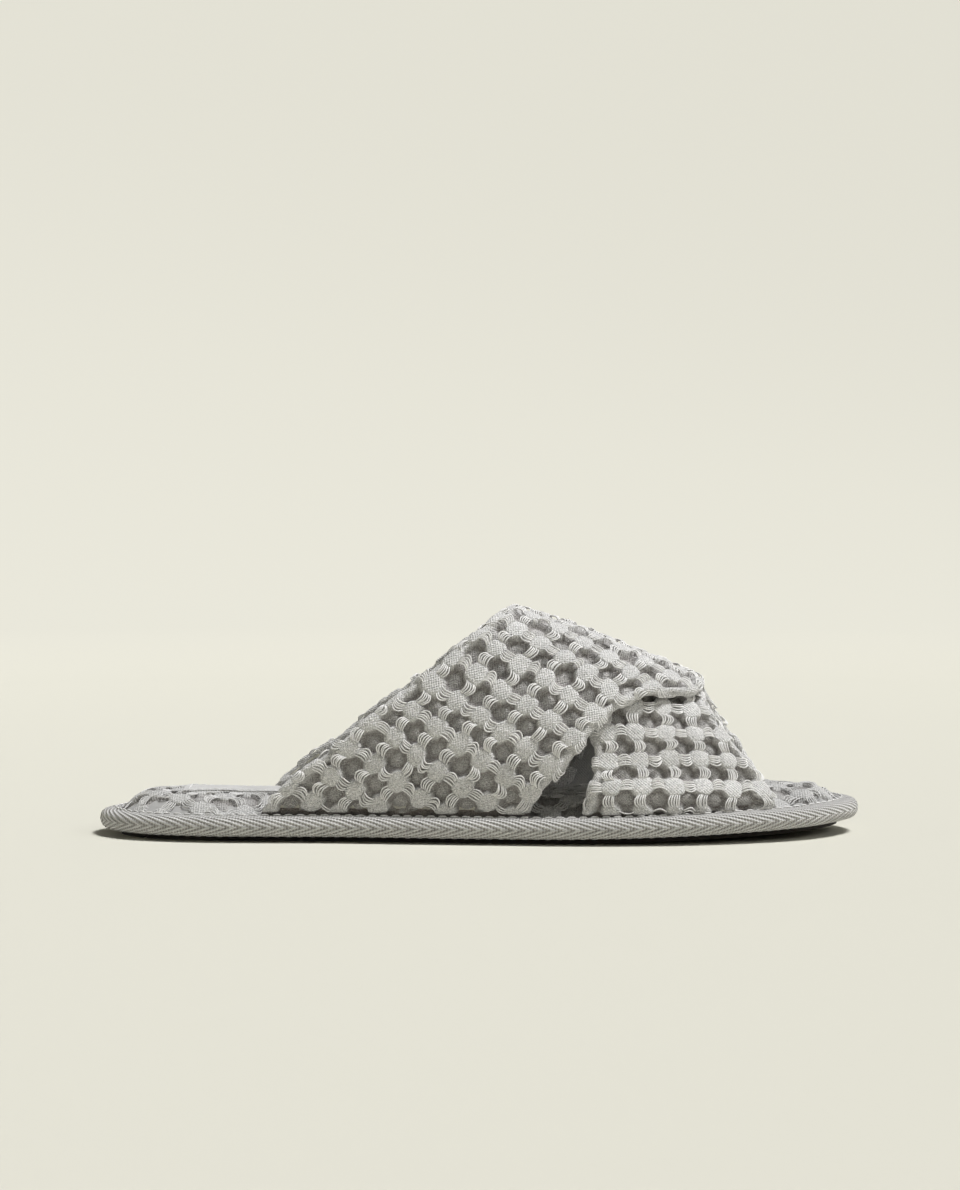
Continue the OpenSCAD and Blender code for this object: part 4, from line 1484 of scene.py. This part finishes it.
def make_stage():
    """A round pale floor whose rim curves up into a low backdrop of the same tone."""
    flat, radius, wall = 1.45, 0.45, 0.35
    bend_steps = 16
    profile = [(0.4, 0.0), (0.9, 0.0), (flat, 0.0)]
    for k in range(1, bend_steps + 1):
        a = math.pi / 2 * k / bend_steps
        profile.append((flat + radius * math.sin(a), radius - radius * math.cos(a)))
    profile.append((flat + radius, radius + wall))
    turns = 96
    points = [(0.0, 0.0, 0.0)]
    for k in range(turns):
        a = 2 * math.pi * k / turns
        points += [(r * math.cos(a), r * math.sin(a), z) for r, z in profile]
    n = len(profile)
    faces = []
    for k in range(turns):
        a, b = 1 + k * n, 1 + (k + 1) % turns * n
        faces.append((0, a, b))
        faces += [(a + i, a + i + 1, b + i + 1, b + i) for i in range(n - 1)]
    mesh = bpy.data.meshes.new("backdrop")
    mesh.from_pydata(points, [], faces)
    mesh.shade_smooth()
    backdrop = link_object("backdrop", mesh)
    material, tree, shader = new_material("backdrop_paper")
    shader.inputs["Roughness"].default_value = 1.0
    shader.inputs["Specular IOR Level"].default_value = 0.0
    place = tree.nodes.new("ShaderNodeTexCoord")
    split = tree.nodes.new("ShaderNodeSeparateXYZ")
    tree.links.new(place.outputs["Object"], split.inputs[0])
    # Behind the slipper the paper turns from lit to glowing, so the wall keeps one tone
    squared = math_node(tree, "MULTIPLY", split.outputs[0], split.outputs[0])
    squared = math_node(tree, "MULTIPLY_ADD", split.outputs[1], split.outputs[1], squared)
    away = math_node(tree, "MULTIPLY_ADD", math_node(tree, "SQRT", squared), *GLOW_AWAY)
    behind = math_node(tree, "MULTIPLY_ADD", split.outputs[1], *GLOW_BEHIND)
    glow = math_node(tree, "MULTIPLY", clamp_node(tree, away), clamp_node(tree, behind))
    lit = ramp_node(tree, glow, scaled(PAPER_TONE, PAPER_LIT), scaled(PAPER_TONE, PAPER_HELD))
    tree.links.new(lit, shader.inputs["Base Color"])
    glowing = ramp_node(tree, glow, (0, 0, 0), scaled(PAPER_TONE, PAPER_GLOW))
    tree.links.new(glowing, shader.inputs["Emission Color"])
    shader.inputs["Emission Strength"].default_value = 1.0
    backdrop.data.materials.append(material)


def sun_light(name, azimuth, elevation, softness, strength):
    """A broad soft light from the given direction, in degrees; azimuth 0 is +X."""
    data = bpy.data.lights.new(name, "SUN")
    data.energy = strength
    data.angle = math.radians(softness)
    a, e = math.radians(azimuth), math.radians(elevation)
    towards = Vector((math.cos(e) * math.cos(a), math.cos(e) * math.sin(a), math.sin(e)))
    light = link_object(name, data)
    light.rotation_euler = towards.to_track_quat("Z", "Y").to_euler()


def make_lights():
    world = bpy.data.worlds.new("studio")
    world.use_nodes = True
    background = world.node_tree.nodes["Background"]
    background.inputs["Color"].default_value = (1.0, 1.0, 1.0, 1)
    background.inputs["Strength"].default_value = 0.08
    bpy.context.scene.world = world
    sun_light("overhead", azimuth=-5, elevation=67, softness=18, strength=3.5)
    sun_light("toe_side", azimuth=-25, elevation=25, softness=30, strength=0.7)


def make_camera():
    """A long lens low in front of the outer side, aimed above the slipper."""
    distance = 1.2
    elevation = math.radians(5.6)
    frame_width = 0.336
    frame_shape = 119 / 96
    drop_share = 0.163
    sensor = 36.0
    target = Vector((0, -0.0025, 0.015))
    place = target + distance * Vector((0, -math.cos(elevation), math.sin(elevation)))
    data = bpy.data.cameras.new("camera")
    data.sensor_fit = "HORIZONTAL"
    data.sensor_width = sensor
    data.lens = sensor * distance / frame_width
    aim = math.atan(drop_share * frame_shape * frame_width / distance)
    camera = link_object("camera", data)
    camera.location = place
    camera.rotation_euler = (math.pi / 2 - elevation + aim, 0, 0)
    data.clip_start = 0.05
    data.clip_end = 30
    bpy.context.scene.camera = camera


make_stage()
make_lights()
make_camera()
bpy.context.scene.view_settings.view_transform = "Standard"
